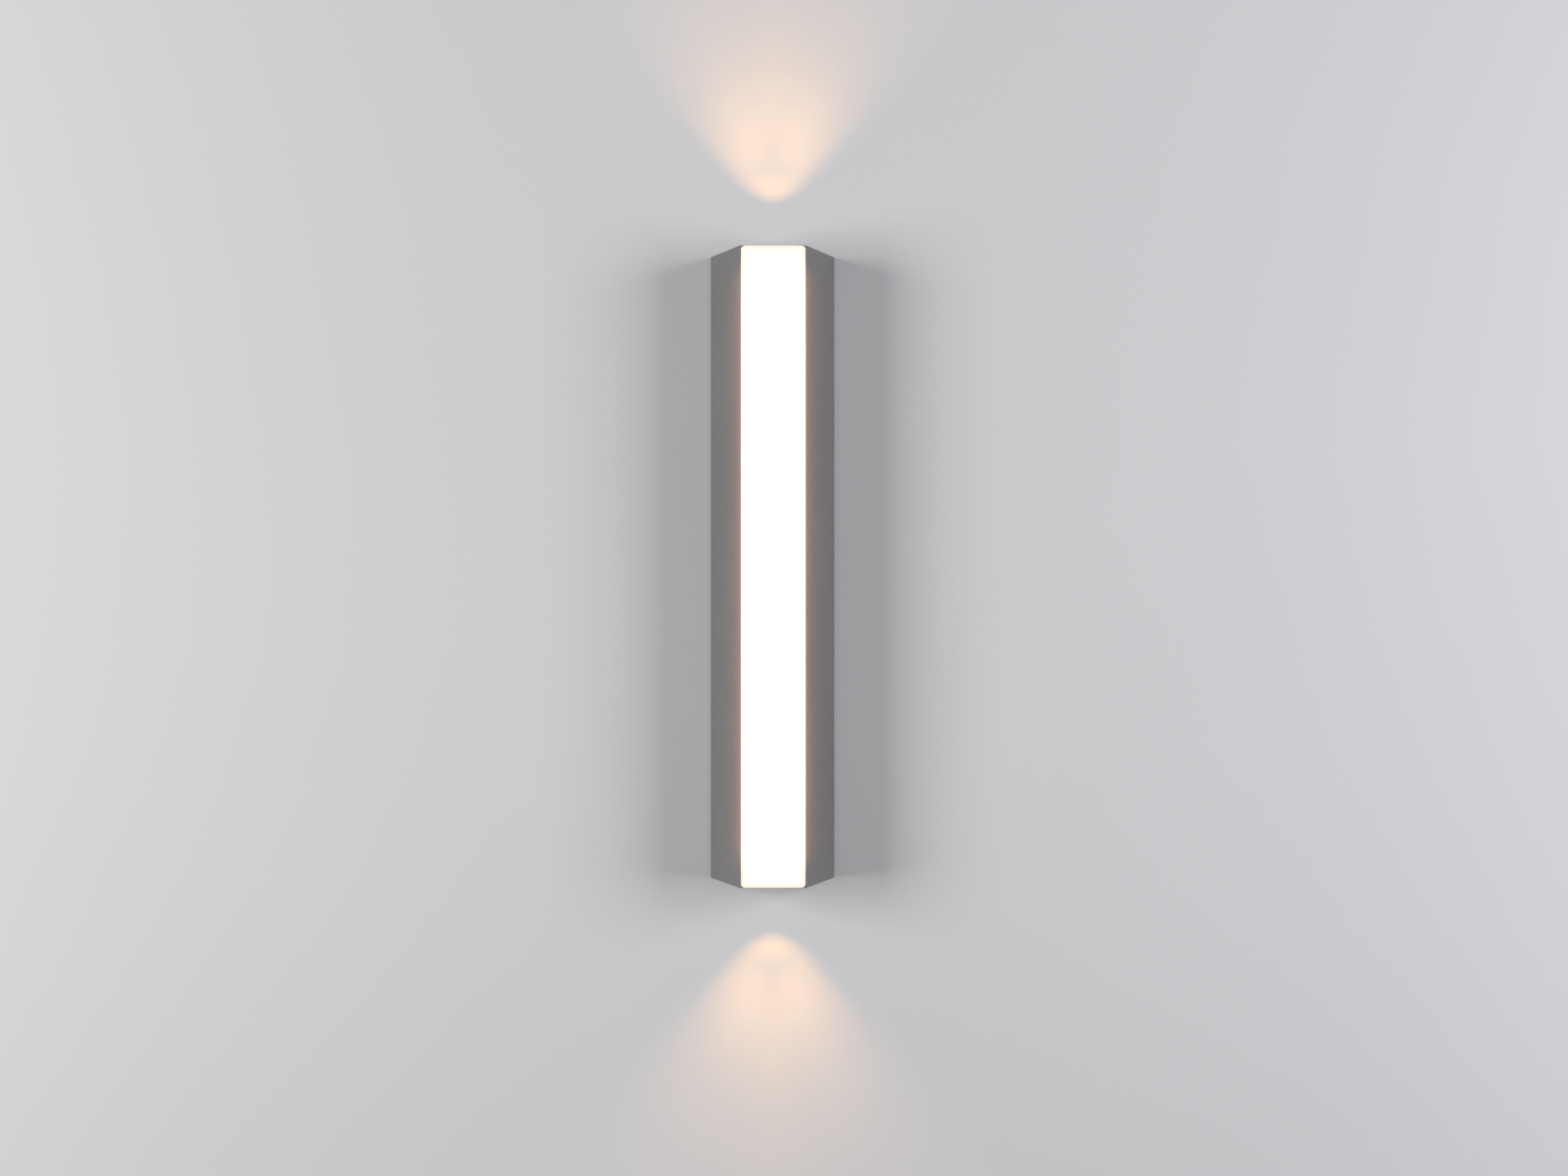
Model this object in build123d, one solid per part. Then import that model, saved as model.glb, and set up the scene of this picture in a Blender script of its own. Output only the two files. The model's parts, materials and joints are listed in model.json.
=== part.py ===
from build123d import *
import math
import os
from dataclasses import dataclass

# An outdoor wall light. A tapered aluminium body hangs on a steel wall bracket, with a lit
# strip along its front and a small spot in each end. Sizes are in millimetres. +Z is up, the
# wall is the plane Y = 0 and the light faces -Y. A depth is a distance out from the wall.

# Body: a tapered extrusion, widest at its rear rim
HEIGHT = 450.0
BACK_WIDTH = 90.0
FRONT_WIDTH = 46.0
BODY_DEPTH = 52.0
WALL = 2.0
FRONT_EDGE_R = 0.8
RIM_EDGE_R = 0.4
RIM_LIP_W = 8.0
RIM_LIP_T = 2.0
FRONT_LIP_W = 6.0
FRONT_LIP_T = 2.0
CHAMBER_DEPTH = 10.0
WEB_T = 2.0
BACK_SPACE = 8.5
LEDGE_W = 5.8
LEDGE_T = 2.0
PORT_R = 4.4
PORT_SINK = 0.6
PORT_STEP = 1.1
PORT_GAP = 0.8

# Fits
FIT_GAP = 0.15
SLIDE_GAP = 0.3
EDGE_GAP = 0.8
HOLE_GAP = 0.2
THREAD_GAP = 0.05
TIP_GAP = 0.3

# End caps, set into the ends of the extrusion
CAP_T = 4.0
CAP_INSET = 0.3
CAP_SEAL_T = 1.0
CAP_SEAL_W = 9.0
CAP_SCREW_L = 14.0
SHELF_L = 8.0

# Wall bracket, its seal and the screws that hold the body on it
WALL_SEAL_T = 2.0
WALL_SEAL_INSET = 0.7
BRACKET_W = 60.0
BRACKET_T = 2.0
BRACKET_BEND_R = 2.6
BRACKET_FLANGE_H = 7.0
BRACKET_NECK_L = 9.0
TAB_W = 20.0
WALL_SLOT_SPACING = 320.0
WALL_SLOT_W = 5.5
WALL_SLOT_L = 12.0
SECURING_SCREW_L = 12.0
NUT_SIDE = 7.0
NUT_T = 3.2
NUT_GAP = 0.5

# Mains cable entry
CABLE_Z = -40.0
CABLE_HOLE_R = 13.0
CABLE_BORE_R = 4.0
GROMMET_NECK_R = 7.0
GROMMET_FLANGE_R = 9.5
GROMMET_FLANGE_T = 1.5
GROMMET_NOSE_R = 5.6
GROMMET_NOSE_L = 4.0

# Back plate
PLATE_T = 1.5
PLATE_SEAL_T = 1.0
PLATE_SEAL_W = 4.5
PLATE_SCREW_L = 5.4
PLATE_SCREWS_PER_SIDE = 4
PLATE_SCREW_END = 25.0
PLATE_SCREW_EDGE = 3.1

# Opal diffuser, standing proud of the front edges
DIFFUSER_T = 3.0
DIFFUSER_GAP = 0.5
DIFFUSER_CORNER_R = 2.7
DIFFUSER_EDGE_R = 0.9
LEG_T = 1.6
LEG_END_GAP = 1.0
HOOK_W = 1.3
HOOK_L = 2.2
GROOVE_W = 2.0
GROOVE_DEPTH = 1.0

# Front board and its chips
BOARD_W = 27.0
BOARD_T = 1.6
BOARD_END_GAP = 1.2
BOARD_SCREWS = 6
BOARD_SCREW_X = 10.5
BOARD_SCREW_END = 16.0
CHIP_W = 3.5
CHIP_L = 2.8
CHIP_T = 0.7
CHIP_ROW_X = 4.8
CHIP_PITCH = 12.0

# Spot in each end, listed from its window inwards
SPOT_WEB_GAP = 2.0
SPOT_LEDGE_GAP = 1.0
WINDOW_LIP_T = 1.6
WINDOW_LIP_W = 2.5
WINDOW_T = 2.5
WINDOW_SEAL_T = 0.8
HOLDER_H = 12.0
HOLDER_WALL = 1.2
HOLDER_FLANGE_T = 2.0
HOLDER_FLANGE_W = 2.0
HOLDER_BASE_R = 7.0
HOLDER_CONE_H = 5.5
HOLDER_FLOOR_T = 1.5
HOLDER_HOLE_R = 3.4
LENS_GAP = 0.25
LENS_SINK = 0.4
LENS_RECESS_R = 2.8
LENS_RECESS_H = 4.0
LED_SIDE = 3.4
LED_BASE_T = 0.7
LED_DOME_R = 1.4
SPOT_BOARD_D = 15.0
SPOT_BOARD_GAP = 0.5
HEAT_PLATE_T = 3.0
HEAT_EAR_R = 4.6
POST_R = 3.5
POST_GAP = 2.5
SPOT_SCREW_L = 11.0

# LED driver on the back of the web
DRIVER_Z = 40.0
DRIVER_L = 84.0
DRIVER_H = 20.0
DRIVER_WALL = 1.5
DRIVER_LIP_H = 2.0
DRIVER_LIP_T = 1.2
DRIVER_EAR_L = 8.0
DRIVER_EAR_W = 16.0
DRIVER_EAR_T = 2.0
DRIVER_WIRE_DROP = 10.0
DRIVER_RIB_H = 0.9
CIRCUIT_T = 1.6
CIRCUIT_GAP = 0.5
CORE_W = 18.0
CORE_L = 20.0
CORE_H = 11.0
COIL_W = 24.0
COIL_L = 13.0
COIL_H = 8.0
CAPACITOR_R = 4.0
CAPACITOR_L = 16.0
CAPACITOR_X = 9.5
CAPACITOR_STEP = 5.0

# Terminal block
TERMINAL_Z = -2.0
TERMINAL_PITCH = 11.0
TERMINAL_L = 20.0
TERMINAL_H = 16.0
TERMINAL_WELL_R = 2.3
CLAMP_SIDE = 4.4
CLAMP_L = 16.0
CLAMP_BORE_R = 1.7
CLAMP_SCREW_Z = 4.5
FIXING_SEAT = 5.0

# Earth point
EARTH_Z = 30.0
TAG_R = 3.9
TAG_T = 0.8
TAG_NECK_W = 2.6
BARREL_R = 1.9
BARREL_L = 4.8

# Wires
MAINS_WIRE_R = 1.1
LEAD_R = 0.8
WIRE_GAP = 0.3
LEAD_X = 5.0
SPOT_LEAD_EDGE = 2.5
LEAD_LOOP = 14.0
MAINS_WIRE_RISE = 7.0
SPOT_LEAD_DROP = 22.0
BEND_SHARE = 0.45


@dataclass(frozen=True)
class Screw:
    """Thread and head diameters, head height and hexagon socket of a screw."""

    thread: float
    head: float
    head_h: float
    socket: float


M2_5_ROUND = Screw(thread=2.5, head=4.4, head_h=1.6, socket=1.5)
M3_ROUND = Screw(thread=3.0, head=5.6, head_h=2.0, socket=2.0)
M3_FLAT = Screw(thread=3.0, head=6.0, head_h=1.7, socket=2.0)
M4_ROUND = Screw(thread=4.0, head=7.6, head_h=2.2, socket=2.5)
M4_FLAT = Screw(thread=4.0, head=7.6, head_h=2.2, socket=2.5)

# Depths, from the wall outwards
RIM = WALL_SEAL_T
FRONT = RIM + BODY_DEPTH
WEB_FRONT = FRONT - CHAMBER_DEPTH
WEB_BACK = WEB_FRONT - WEB_T
FRONT_LIP_BACK = FRONT - FRONT_LIP_T
RIM_LIP_FRONT = RIM + RIM_LIP_T
PLATE_BACK = RIM + BACK_SPACE
PLATE_FRONT = PLATE_BACK + PLATE_T
LEDGE_FACE = PLATE_FRONT + PLATE_SEAL_T
LEDGE_FRONT = LEDGE_FACE + LEDGE_T
BOARD_FRONT = WEB_FRONT + BOARD_T
CHIP_FRONT = BOARD_FRONT + CHIP_T

# The side walls' slope, and how much wider a slanted wall is when cut straight across
TAPER = (BACK_WIDTH - FRONT_WIDTH) / 2 / BODY_DEPTH
SLANT = math.hypot(1, TAPER)

# Heights of the upper end's faces, from the end inwards; the lower end mirrors them
CAP_TOP = HEIGHT / 2 - CAP_INSET
CAP_INNER = CAP_TOP - CAP_T
CORE_END = CAP_INNER - CAP_SEAL_T
WINDOW_SEAT = CAP_TOP - WINDOW_LIP_T
WINDOW_TOP = WINDOW_SEAT - WINDOW_SEAL_T
WINDOW_BASE = WINDOW_TOP - WINDOW_T
HOLDER_BASE = WINDOW_BASE - HOLDER_H
SPOT_BOARD_BASE = HOLDER_BASE - BOARD_T
HEAT_PLATE_BASE = SPOT_BOARD_BASE - HEAT_PLATE_T
TAB_TOP = CAP_INNER - SLIDE_GAP
TAB_BASE = TAB_TOP - BRACKET_T
SPOT_LEAD_Z = HEAT_PLATE_BASE - SPOT_LEAD_DROP

# Securing screws and tabs, in the space behind the back plate
SECURING_DEPTH = PLATE_BACK - NUT_GAP - NUT_SIDE / 2
TAB_REACH = SECURING_DEPTH + NUT_SIDE / 2

# The spot fills the room between the ledges and the web
WINDOW_R = (WEB_BACK - LEDGE_FRONT - SPOT_WEB_GAP - SPOT_LEDGE_GAP) / 2
SPOT_DEPTH = WEB_BACK - SPOT_WEB_GAP - WINDOW_R
SPOT_OPENING_R = WINDOW_R - WINDOW_LIP_W
HOLDER_R = WINDOW_R - HOLDER_FLANGE_W
POST_X = WINDOW_R + POST_GAP + POST_R
SPOT_BOARD_X = POST_X - POST_R - SPOT_BOARD_GAP
SPOT_LEAD_X = SPOT_BOARD_X - SPOT_LEAD_EDGE

# Screw ports of the extrusion: a pair behind the web and a pair by the rear ledges
PORT_REACH = PORT_R - PORT_SINK
FRONT_PORT_DEPTH = WEB_BACK - PORT_REACH
REAR_PORT_DEPTH = LEDGE_FRONT + PORT_STEP + PORT_R


def outer_x(depth):
    """Half-width of the body's outside at a depth."""
    return BACK_WIDTH / 2 - TAPER * (depth - RIM)


def inner_x(depth):
    """Half-width of the space between the side walls at a depth."""
    return outer_x(depth) - WALL * SLANT


def port_x(depth):
    """Distance of a screw port from the middle plane at a depth."""
    return inner_x(depth) - PORT_REACH * SLANT


# Widths from the middle plane; the bay is the room between the front ports
RIM_OPENING_X = BACK_WIDTH / 2 - RIM_LIP_W
FRONT_OPENING_X = FRONT_WIDTH / 2 - FRONT_LIP_W
LEDGE_X = RIM_OPENING_X - LEDGE_W
BAY_X = port_x(FRONT_PORT_DEPTH) - PORT_R - PORT_GAP
EARTH_X = BAY_X - M4_ROUND.head / 2

# Driver and terminal block, from the web back towards the wall
DRIVER_TOP = DRIVER_Z + DRIVER_L
DRIVER_BACK = WEB_BACK - DRIVER_H
DRIVER_WIRE_DEPTH = WEB_BACK - DRIVER_WIRE_DROP
CIRCUIT_BACK = WEB_BACK - DRIVER_WALL - DRIVER_RIB_H - CIRCUIT_T
FRONT_LEAD_Z = DRIVER_TOP + LEAD_LOOP
TERMINAL_BACK = WEB_BACK - TERMINAL_H
CLAMP_DEPTH = WEB_BACK - TERMINAL_H / 2
POLES = (-TERMINAL_PITCH, 0.0, TERMINAL_PITCH)

UPRIGHT = Rot(0, 0, 0)
TO_WALL = Rot(-90, 0, 0)
TO_FRONT = Rot(90, 0, 0)


def evenly(count, reach):
    """Places spread evenly from -reach to reach."""
    return [reach * (2 * i / (count - 1) - 1) for i in range(count)]


def mirrored(points):
    """Close a half outline of (x, depth) points over the middle plane."""
    return points + [(-x, depth) for x, depth in reversed(points)]


def block(x, depth, z):
    """Box over three (low, high) ranges."""
    size = (x[1] - x[0], depth[1] - depth[0], z[1] - z[0])
    return Pos(sum(x) / 2, -sum(depth) / 2, sum(z) / 2) * Box(*size)


def outline(points):
    """Flat face from (x, depth) points."""
    return make_face(Polyline(*[(x, -depth) for x, depth in points], close=True))


def prism(face, z):
    """Draw a flat face up over a (low, high) range."""
    return Pos(0, 0, z[0]) * extrude(face, z[1] - z[0], dir=(0, 0, 1))


def rod(x, depth, z, radius):
    """Upright cylinder over a (low, high) range."""
    return Pos(x, -depth, sum(z) / 2) * Cylinder(radius, z[1] - z[0])


def pin(x, depth, z, radius):
    """Cylinder square to the wall, over a (low, high) range of depths."""
    return Pos(x, -sum(depth) / 2, z) * TO_FRONT * Cylinder(radius, depth[1] - depth[0])


def turned(points):
    """Solid turned about the Z axis from (radius, z) points."""
    face = make_face(Polyline(*[(radius, 0, z) for radius, z in points], close=True))
    return revolve(face, Axis.Z)


def place(shape, x, depth, z, turn=UPRIGHT):
    """Turn a shape and move its origin to a place."""
    return Pos(x, -depth, z) * turn * shape


def at_bottom(shape):
    """The lower end's copy of an upper end's piece."""
    return mirror(shape, about=Plane.XY)


def group(shapes):
    """Separate solids kept together as one set."""
    return Compound([solid for shape in shapes for solid in shape.solids()])


def socket(size):
    """Hexagon key recess, down from Z = 0."""
    return extrude(RegularPolygon(size.socket / 2, 6, major_radius=False), -size.head_h / 2)


def round_screw(size, length):
    """Round-headed screw, seated at Z = 0 with its shank down."""
    shank = Pos(0, 0, -length / 2) * Cylinder(size.thread / 2 - THREAD_GAP, length)
    head = Pos(0, 0, size.head_h / 2) * Cylinder(size.head / 2, size.head_h)
    head = fillet(head.edges().group_by(Axis.Z)[-1], size.head_h / 3)
    return head + shank - Pos(0, 0, size.head_h) * socket(size)


def flat_screw(size, length):
    """Countersunk screw, flush at Z = 0 with its shank down."""
    shank_r = size.thread / 2 - THREAD_GAP
    shank = Pos(0, 0, -length / 2) * Cylinder(shank_r, length)
    head = Pos(0, 0, -size.head_h / 2) * Cone(shank_r, size.head / 2, size.head_h)
    return head + shank - socket(size)


def flat_hole(size, length):
    """Cut that clears a flat_screw, down from Z = 0."""
    clear_r = size.thread / 2 + HOLE_GAP
    head_r = size.head / 2 + HOLE_GAP
    sink = Pos(0, 0, -size.head_h / 2) * Cone(clear_r, head_r, size.head_h)
    return sink + Pos(0, 0, -length / 2) * Cylinder(clear_r, length)


def wire(points, radius):
    """Round wire along straight runs and arcs, through (x, depth, z) points."""
    corners = [Vector(x, -depth, z) for x, depth, z in points]
    runs = [b - a for a, b in zip(corners, corners[1:])]
    bends = []
    for before, after in zip(runs, runs[1:]):
        half_turn = math.radians(before.get_angle(after)) / 2
        bends.append(BEND_SHARE * min(before.length, after.length) / math.tan(half_turn))
    path = FilletPolyline(*corners, radius=bends)
    start = Plane(origin=path @ 0, z_dir=path % 0)
    return sweep(start * Circle(radius), path=path)


def port_places():
    """All four screw ports, the front pair first."""
    depths = (FRONT_PORT_DEPTH, REAR_PORT_DEPTH)
    return [(side * port_x(depth), depth) for depth in depths for side in (-1, 1)]


def plate_screw_places():
    """Back plate screws, along each rear ledge."""
    x = RIM_OPENING_X - PLATE_SCREW_EDGE
    reach = CAP_INNER - PLATE_SCREW_END
    return [(side * x, z) for side in (-1, 1) for z in evenly(PLATE_SCREWS_PER_SIDE, reach)]


def board_screw_places():
    """Front board screws, on alternate sides of its chips."""
    reach = CORE_END - BOARD_END_GAP - BOARD_SCREW_END
    heights = evenly(BOARD_SCREWS, reach)
    return [((-1) ** i * BOARD_SCREW_X, z) for i, z in enumerate(heights)]


def driver_screw_heights():
    """Driver screws, in the middle of each ear."""
    return (DRIVER_Z - DRIVER_EAR_L / 2, DRIVER_TOP + DRIVER_EAR_L / 2)


def lead_places():
    """Where leads pass the web: to the front board, then to each spot."""
    heights = (FRONT_LEAD_Z, SPOT_LEAD_Z, -SPOT_LEAD_Z)
    return [(side * LEAD_X, z) for z in heights for side in (-1, 1)]


def groove_ranges():
    """X ranges of the two seal grooves in the front lips."""
    middle = (FRONT_OPENING_X + FRONT_WIDTH / 2 - DIFFUSER_GAP) / 2
    right = (middle - GROOVE_W / 2, middle + GROOVE_W / 2)
    return [right, (-right[1], -right[0])]


def housing_shell():
    """Side walls, rear rim lips and front lips of the extrusion, over its whole height."""
    ends = (-HEIGHT / 2, HEIGHT / 2)
    skin = outline(mirrored([(BACK_WIDTH / 2, RIM), (FRONT_WIDTH / 2, FRONT)]))
    skin = fillet(skin.vertices().group_by(Axis.Y)[0], FRONT_EDGE_R)
    skin = fillet(skin.vertices().group_by(Axis.Y)[-1], RIM_EDGE_R)
    hollow = mirrored(
        [
            (RIM_OPENING_X, RIM - WALL),
            (RIM_OPENING_X, RIM_LIP_FRONT),
            (inner_x(RIM_LIP_FRONT), RIM_LIP_FRONT),
            (inner_x(FRONT_LIP_BACK), FRONT_LIP_BACK),
            (FRONT_OPENING_X, FRONT_LIP_BACK),
            (FRONT_OPENING_X, FRONT + WALL),
        ]
    )
    shell = prism(skin - outline(hollow), ends)
    for x in groove_ranges():
        shell -= block(x, (FRONT - GROOVE_DEPTH, FRONT), (-CORE_END, CORE_END))
    return shell


def housing_core():
    """Web, rear ledges and screw ports, which stop short of the end caps."""
    ends = (-CORE_END, CORE_END)
    root = WALL / 2
    web = [(inner_x(WEB_BACK) + root, WEB_BACK), (inner_x(WEB_FRONT) + root, WEB_FRONT)]
    core = prism(outline(mirrored(web)), ends)
    ledge = [
        (LEDGE_X, LEDGE_FACE),
        (inner_x(LEDGE_FACE) + root, LEDGE_FACE),
        (inner_x(LEDGE_FRONT) + root, LEDGE_FRONT),
        (LEDGE_X, LEDGE_FRONT),
    ]
    for side in (-1, 1):
        core += prism(outline([(side * x, depth) for x, depth in ledge]), ends)
    for x, depth in port_places():
        core += rod(x, depth, ends, PORT_R)
    return core


def housing_profile():
    """The extruded body, with its drilled and threaded holes."""
    body = housing_shell() + housing_core()
    ends = (-CORE_END, CORE_END)
    thread = M3_ROUND.thread / 2
    for x, depth in port_places():
        body -= rod(x, depth, ends, thread)
    for x, z in plate_screw_places():
        body -= pin(x, (LEDGE_FACE, PLATE_BACK + PLATE_SCREW_L + TIP_GAP), z, thread)
    web = (WEB_BACK, WEB_FRONT)
    for x, z in board_screw_places():
        body -= pin(x, web, z, thread)
    for z in driver_screw_heights():
        body -= pin(0, web, z, thread)
    for x in terminal_fixing_places():
        body -= pin(x, web, TERMINAL_Z, M2_5_ROUND.thread / 2)
    body -= pin(EARTH_X, web, EARTH_Z, M4_ROUND.thread / 2)
    for x, z in lead_places():
        body -= pin(x, web, z, LEAD_R + WIRE_GAP)
    return body


def top_end_cap():
    """Cast plate set into the extrusion's end, with posts and a shelf on its inner face."""
    gap_x = FIT_GAP * SLANT
    rear = RIM_LIP_FRONT + FIT_GAP
    front = FRONT_LIP_BACK - FIT_GAP
    half = [
        (RIM_OPENING_X - FIT_GAP, RIM),
        (RIM_OPENING_X - FIT_GAP, rear),
        (inner_x(rear) - gap_x, rear),
        (inner_x(front) - gap_x, front),
        (FRONT_OPENING_X - FIT_GAP, front),
        (FRONT_OPENING_X - FIT_GAP, FRONT),
    ]
    cap = prism(outline(mirrored(half)), (CAP_INNER, CAP_TOP))
    shelf_x = LEDGE_X - SLIDE_GAP
    cap += block((-shelf_x, shelf_x), (LEDGE_FACE, LEDGE_FRONT), (CAP_INNER - SHELF_L, CAP_INNER))
    for x in (-POST_X, POST_X):
        cap += rod(x, SPOT_DEPTH, (SPOT_BOARD_BASE, CAP_INNER), POST_R)
        screw_hole = (SPOT_BOARD_BASE, HEAT_PLATE_BASE + SPOT_SCREW_L + TIP_GAP)
        cap -= rod(x, SPOT_DEPTH, screw_hole, M3_ROUND.thread / 2)
    cap -= rod(0, SPOT_DEPTH, (CAP_INNER, CAP_TOP), SPOT_OPENING_R)
    cap -= rod(0, SPOT_DEPTH, (CAP_INNER, WINDOW_SEAT), WINDOW_R + FIT_GAP)
    for x, depth in port_places():
        cap -= place(flat_hole(M3_FLAT, CAP_T), x, depth, CAP_TOP)
    return cap - place(flat_hole(M4_FLAT, CAP_T), 0, SECURING_DEPTH, CAP_TOP)


def top_cap_seal():
    """Gasket between the end cap and the ends of the web and ports, open towards the wall."""
    rear = LEDGE_FRONT + SLIDE_GAP
    front = FRONT_LIP_BACK - FIT_GAP
    inside = SPOT_DEPTH + WINDOW_R + SLIDE_GAP
    edge = SLIDE_GAP * SLANT
    half = [
        (inner_x(inside) - CAP_SEAL_W, inside),
        (inner_x(rear) - CAP_SEAL_W, rear),
        (inner_x(rear) - edge, rear),
        (inner_x(front) - edge, front),
    ]
    seal = prism(outline(mirrored(half)), (CORE_END, CAP_INNER))
    for x, depth in port_places():
        seal -= rod(x, depth, (CORE_END, CAP_INNER), M3_FLAT.thread / 2 + HOLE_GAP)
    return seal


def end_cap_screws():
    """Four countersunk screws in each end."""
    screw = flat_screw(M3_FLAT, CAP_SCREW_L)
    top = [place(screw, x, depth, CAP_TOP) for x, depth in port_places()]
    return group(top + [at_bottom(shape) for shape in top])


def top_securing_screw():
    """Screw that locks the body to the bracket's upper tab."""
    return place(flat_screw(M4_FLAT, SECURING_SCREW_L), 0, SECURING_DEPTH, CAP_TOP)


def securing_nuts():
    """Square nuts on the securing screws, behind the tabs."""
    half = NUT_SIDE / 2
    top = TAB_BASE - HOLE_GAP
    nut = block(
        (-half, half),
        (SECURING_DEPTH - half, SECURING_DEPTH + half),
        (top - NUT_T, top),
    )
    nut -= rod(0, SECURING_DEPTH, (top - NUT_T, top), M4_FLAT.thread / 2 + HOLE_GAP)
    return group([nut, at_bottom(nut)])


def bracket_tab():
    """Upper end of the bracket: a neck bent forward into a slotted tab."""
    neck = TAB_TOP - BRACKET_NECK_L
    side = make_face(
        Polyline(
            (0, neck),
            (0, TAB_TOP),
            (-TAB_REACH, TAB_TOP),
            (-TAB_REACH, TAB_BASE),
            (-BRACKET_T, TAB_BASE),
            (-BRACKET_T, neck),
            close=True,
        )
    )
    bend = [v for v in side.vertices() if abs(v.X) + abs(v.Y - TAB_TOP) < THREAD_GAP]
    side = fillet(bend, BRACKET_BEND_R)
    tab = extrude(Plane.YZ * side, TAB_W / 2, both=True)
    slot_r = M4_FLAT.thread / 2 + SLIDE_GAP
    tab -= block((-slot_r, slot_r), (SECURING_DEPTH, TAB_REACH), (TAB_BASE, TAB_TOP))
    return tab - rod(0, SECURING_DEPTH, (TAB_BASE, TAB_TOP), slot_r)


def wall_bracket():
    """Folded steel bracket with stiffening flanges, wall slots and a cable hole."""
    half = BRACKET_W / 2
    channel = outline(
        mirrored(
            [
                (half, 0),
                (half, BRACKET_FLANGE_H),
                (half - BRACKET_T, BRACKET_FLANGE_H),
                (half - BRACKET_T, BRACKET_T),
            ]
        )
    )
    bends = channel.vertices().group_by(Axis.Y)[-1]
    channel = fillet(bends, BRACKET_BEND_R)
    reach = TAB_TOP - BRACKET_NECK_L
    bracket = prism(channel, (-reach, reach)) + bracket_tab() + at_bottom(bracket_tab())
    bracket -= pin(0, (0, BRACKET_T), CABLE_Z, CABLE_HOLE_R)
    slot_r = WALL_SLOT_W / 2
    slot_reach = WALL_SLOT_L / 2 - slot_r
    for z in (-WALL_SLOT_SPACING / 2, WALL_SLOT_SPACING / 2):
        bracket -= block((-slot_r, slot_r), (0, BRACKET_T), (z - slot_reach, z + slot_reach))
        for end in (z - slot_reach, z + slot_reach):
            bracket -= pin(0, (0, BRACKET_T), end, slot_r)
    return bracket


def wall_seal():
    """Foam frame between the body's rim and the wall."""
    outer_half = BACK_WIDTH / 2 - WALL_SEAL_INSET
    inner_half = RIM_OPENING_X + WALL_SEAL_INSET
    outer_z = CAP_TOP - WALL_SEAL_INSET
    inner_z = CAP_INNER + WALL_SEAL_INSET
    frame = block((-outer_half, outer_half), (0, RIM), (-outer_z, outer_z))
    return frame - block((-inner_half, inner_half), (0, RIM), (-inner_z, inner_z))


def back_plate():
    """Sheet that closes the wiring space from behind."""
    half = RIM_OPENING_X - EDGE_GAP
    reach = CAP_INNER - EDGE_GAP
    plate = block((-half, half), (PLATE_BACK, PLATE_FRONT), (-reach, reach))
    for x, z in plate_screw_places():
        plate -= pin(x, (PLATE_BACK, PLATE_FRONT), z, M3_ROUND.thread / 2 + HOLE_GAP)
    return plate - pin(0, (PLATE_BACK, PLATE_FRONT), CABLE_Z, GROMMET_NECK_R + FIT_GAP)


def back_plate_seal():
    """Gasket frame between the back plate and the ledges and shelves."""
    half = RIM_OPENING_X - 2 * EDGE_GAP
    reach = CAP_INNER - 2 * EDGE_GAP
    depth = (PLATE_FRONT, LEDGE_FACE)
    seal = block((-half, half), depth, (-reach, reach))
    inner_half = half - PLATE_SEAL_W
    inner_reach = CAP_INNER - SHELF_L + EDGE_GAP
    seal -= block((-inner_half, inner_half), depth, (-inner_reach, inner_reach))
    for x, z in plate_screw_places():
        seal -= pin(x, depth, z, M3_ROUND.thread / 2 + HOLE_GAP)
    return seal


def back_plate_screws():
    """Round-headed screws along both edges of the back plate."""
    screw = round_screw(M3_ROUND, PLATE_SCREW_L)
    return group([place(screw, x, PLATE_BACK, z, TO_WALL) for x, z in plate_screw_places()])


def cable_grommet():
    """Rubber bush for the mains cable, buttoned into the back plate."""
    nose = PLATE_FRONT + GROMMET_FLANGE_T
    bush = turned(
        [
            (CABLE_BORE_R, PLATE_BACK - GROMMET_FLANGE_T),
            (GROMMET_FLANGE_R, PLATE_BACK - GROMMET_FLANGE_T),
            (GROMMET_FLANGE_R, PLATE_BACK),
            (GROMMET_NECK_R, PLATE_BACK),
            (GROMMET_NECK_R, PLATE_FRONT),
            (GROMMET_FLANGE_R, PLATE_FRONT),
            (GROMMET_FLANGE_R, nose),
            (GROMMET_NOSE_R, nose + GROMMET_NOSE_L),
            (CABLE_BORE_R, nose + GROMMET_NOSE_L),
        ]
    )
    return place(bush, 0, 0, CABLE_Z, TO_FRONT)


def front_diffuser():
    """Opal strip over the whole front, with two snap legs behind the front lips."""
    size = (FRONT_WIDTH - 2 * DIFFUSER_GAP, HEIGHT - 2 * DIFFUSER_GAP)
    strip = extrude(RectangleRounded(*size, DIFFUSER_CORNER_R), DIFFUSER_T)
    strip = fillet(strip.faces().sort_by(Axis.Z)[-1].edges(), DIFFUSER_EDGE_R)
    strip = place(strip, 0, FRONT, 0, TO_FRONT)
    leg_out = FRONT_OPENING_X - SLIDE_GAP
    leg_in = leg_out - LEG_T
    root = FRONT + DIFFUSER_T / 2
    hook = FRONT_LIP_BACK - HOLE_GAP
    leg = [
        (leg_in, root),
        (leg_in, hook - HOOK_L),
        (leg_out, hook - HOOK_L),
        (leg_out + HOOK_W, hook),
        (leg_out, hook),
        (leg_out, root),
    ]
    reach = CAP_INNER - LEG_END_GAP
    for side in (-1, 1):
        strip += prism(outline([(side * x, depth) for x, depth in leg]), (-reach, reach))
    return strip


def diffuser_seals():
    """Silicone strips in the grooves of the front lips."""
    reach = CORE_END - FIT_GAP
    depth = (FRONT - GROOVE_DEPTH + FIT_GAP, FRONT)
    strips = [(low + FIT_GAP, high - FIT_GAP) for low, high in groove_ranges()]
    return group([block(x, depth, (-reach, reach)) for x in strips])


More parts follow.
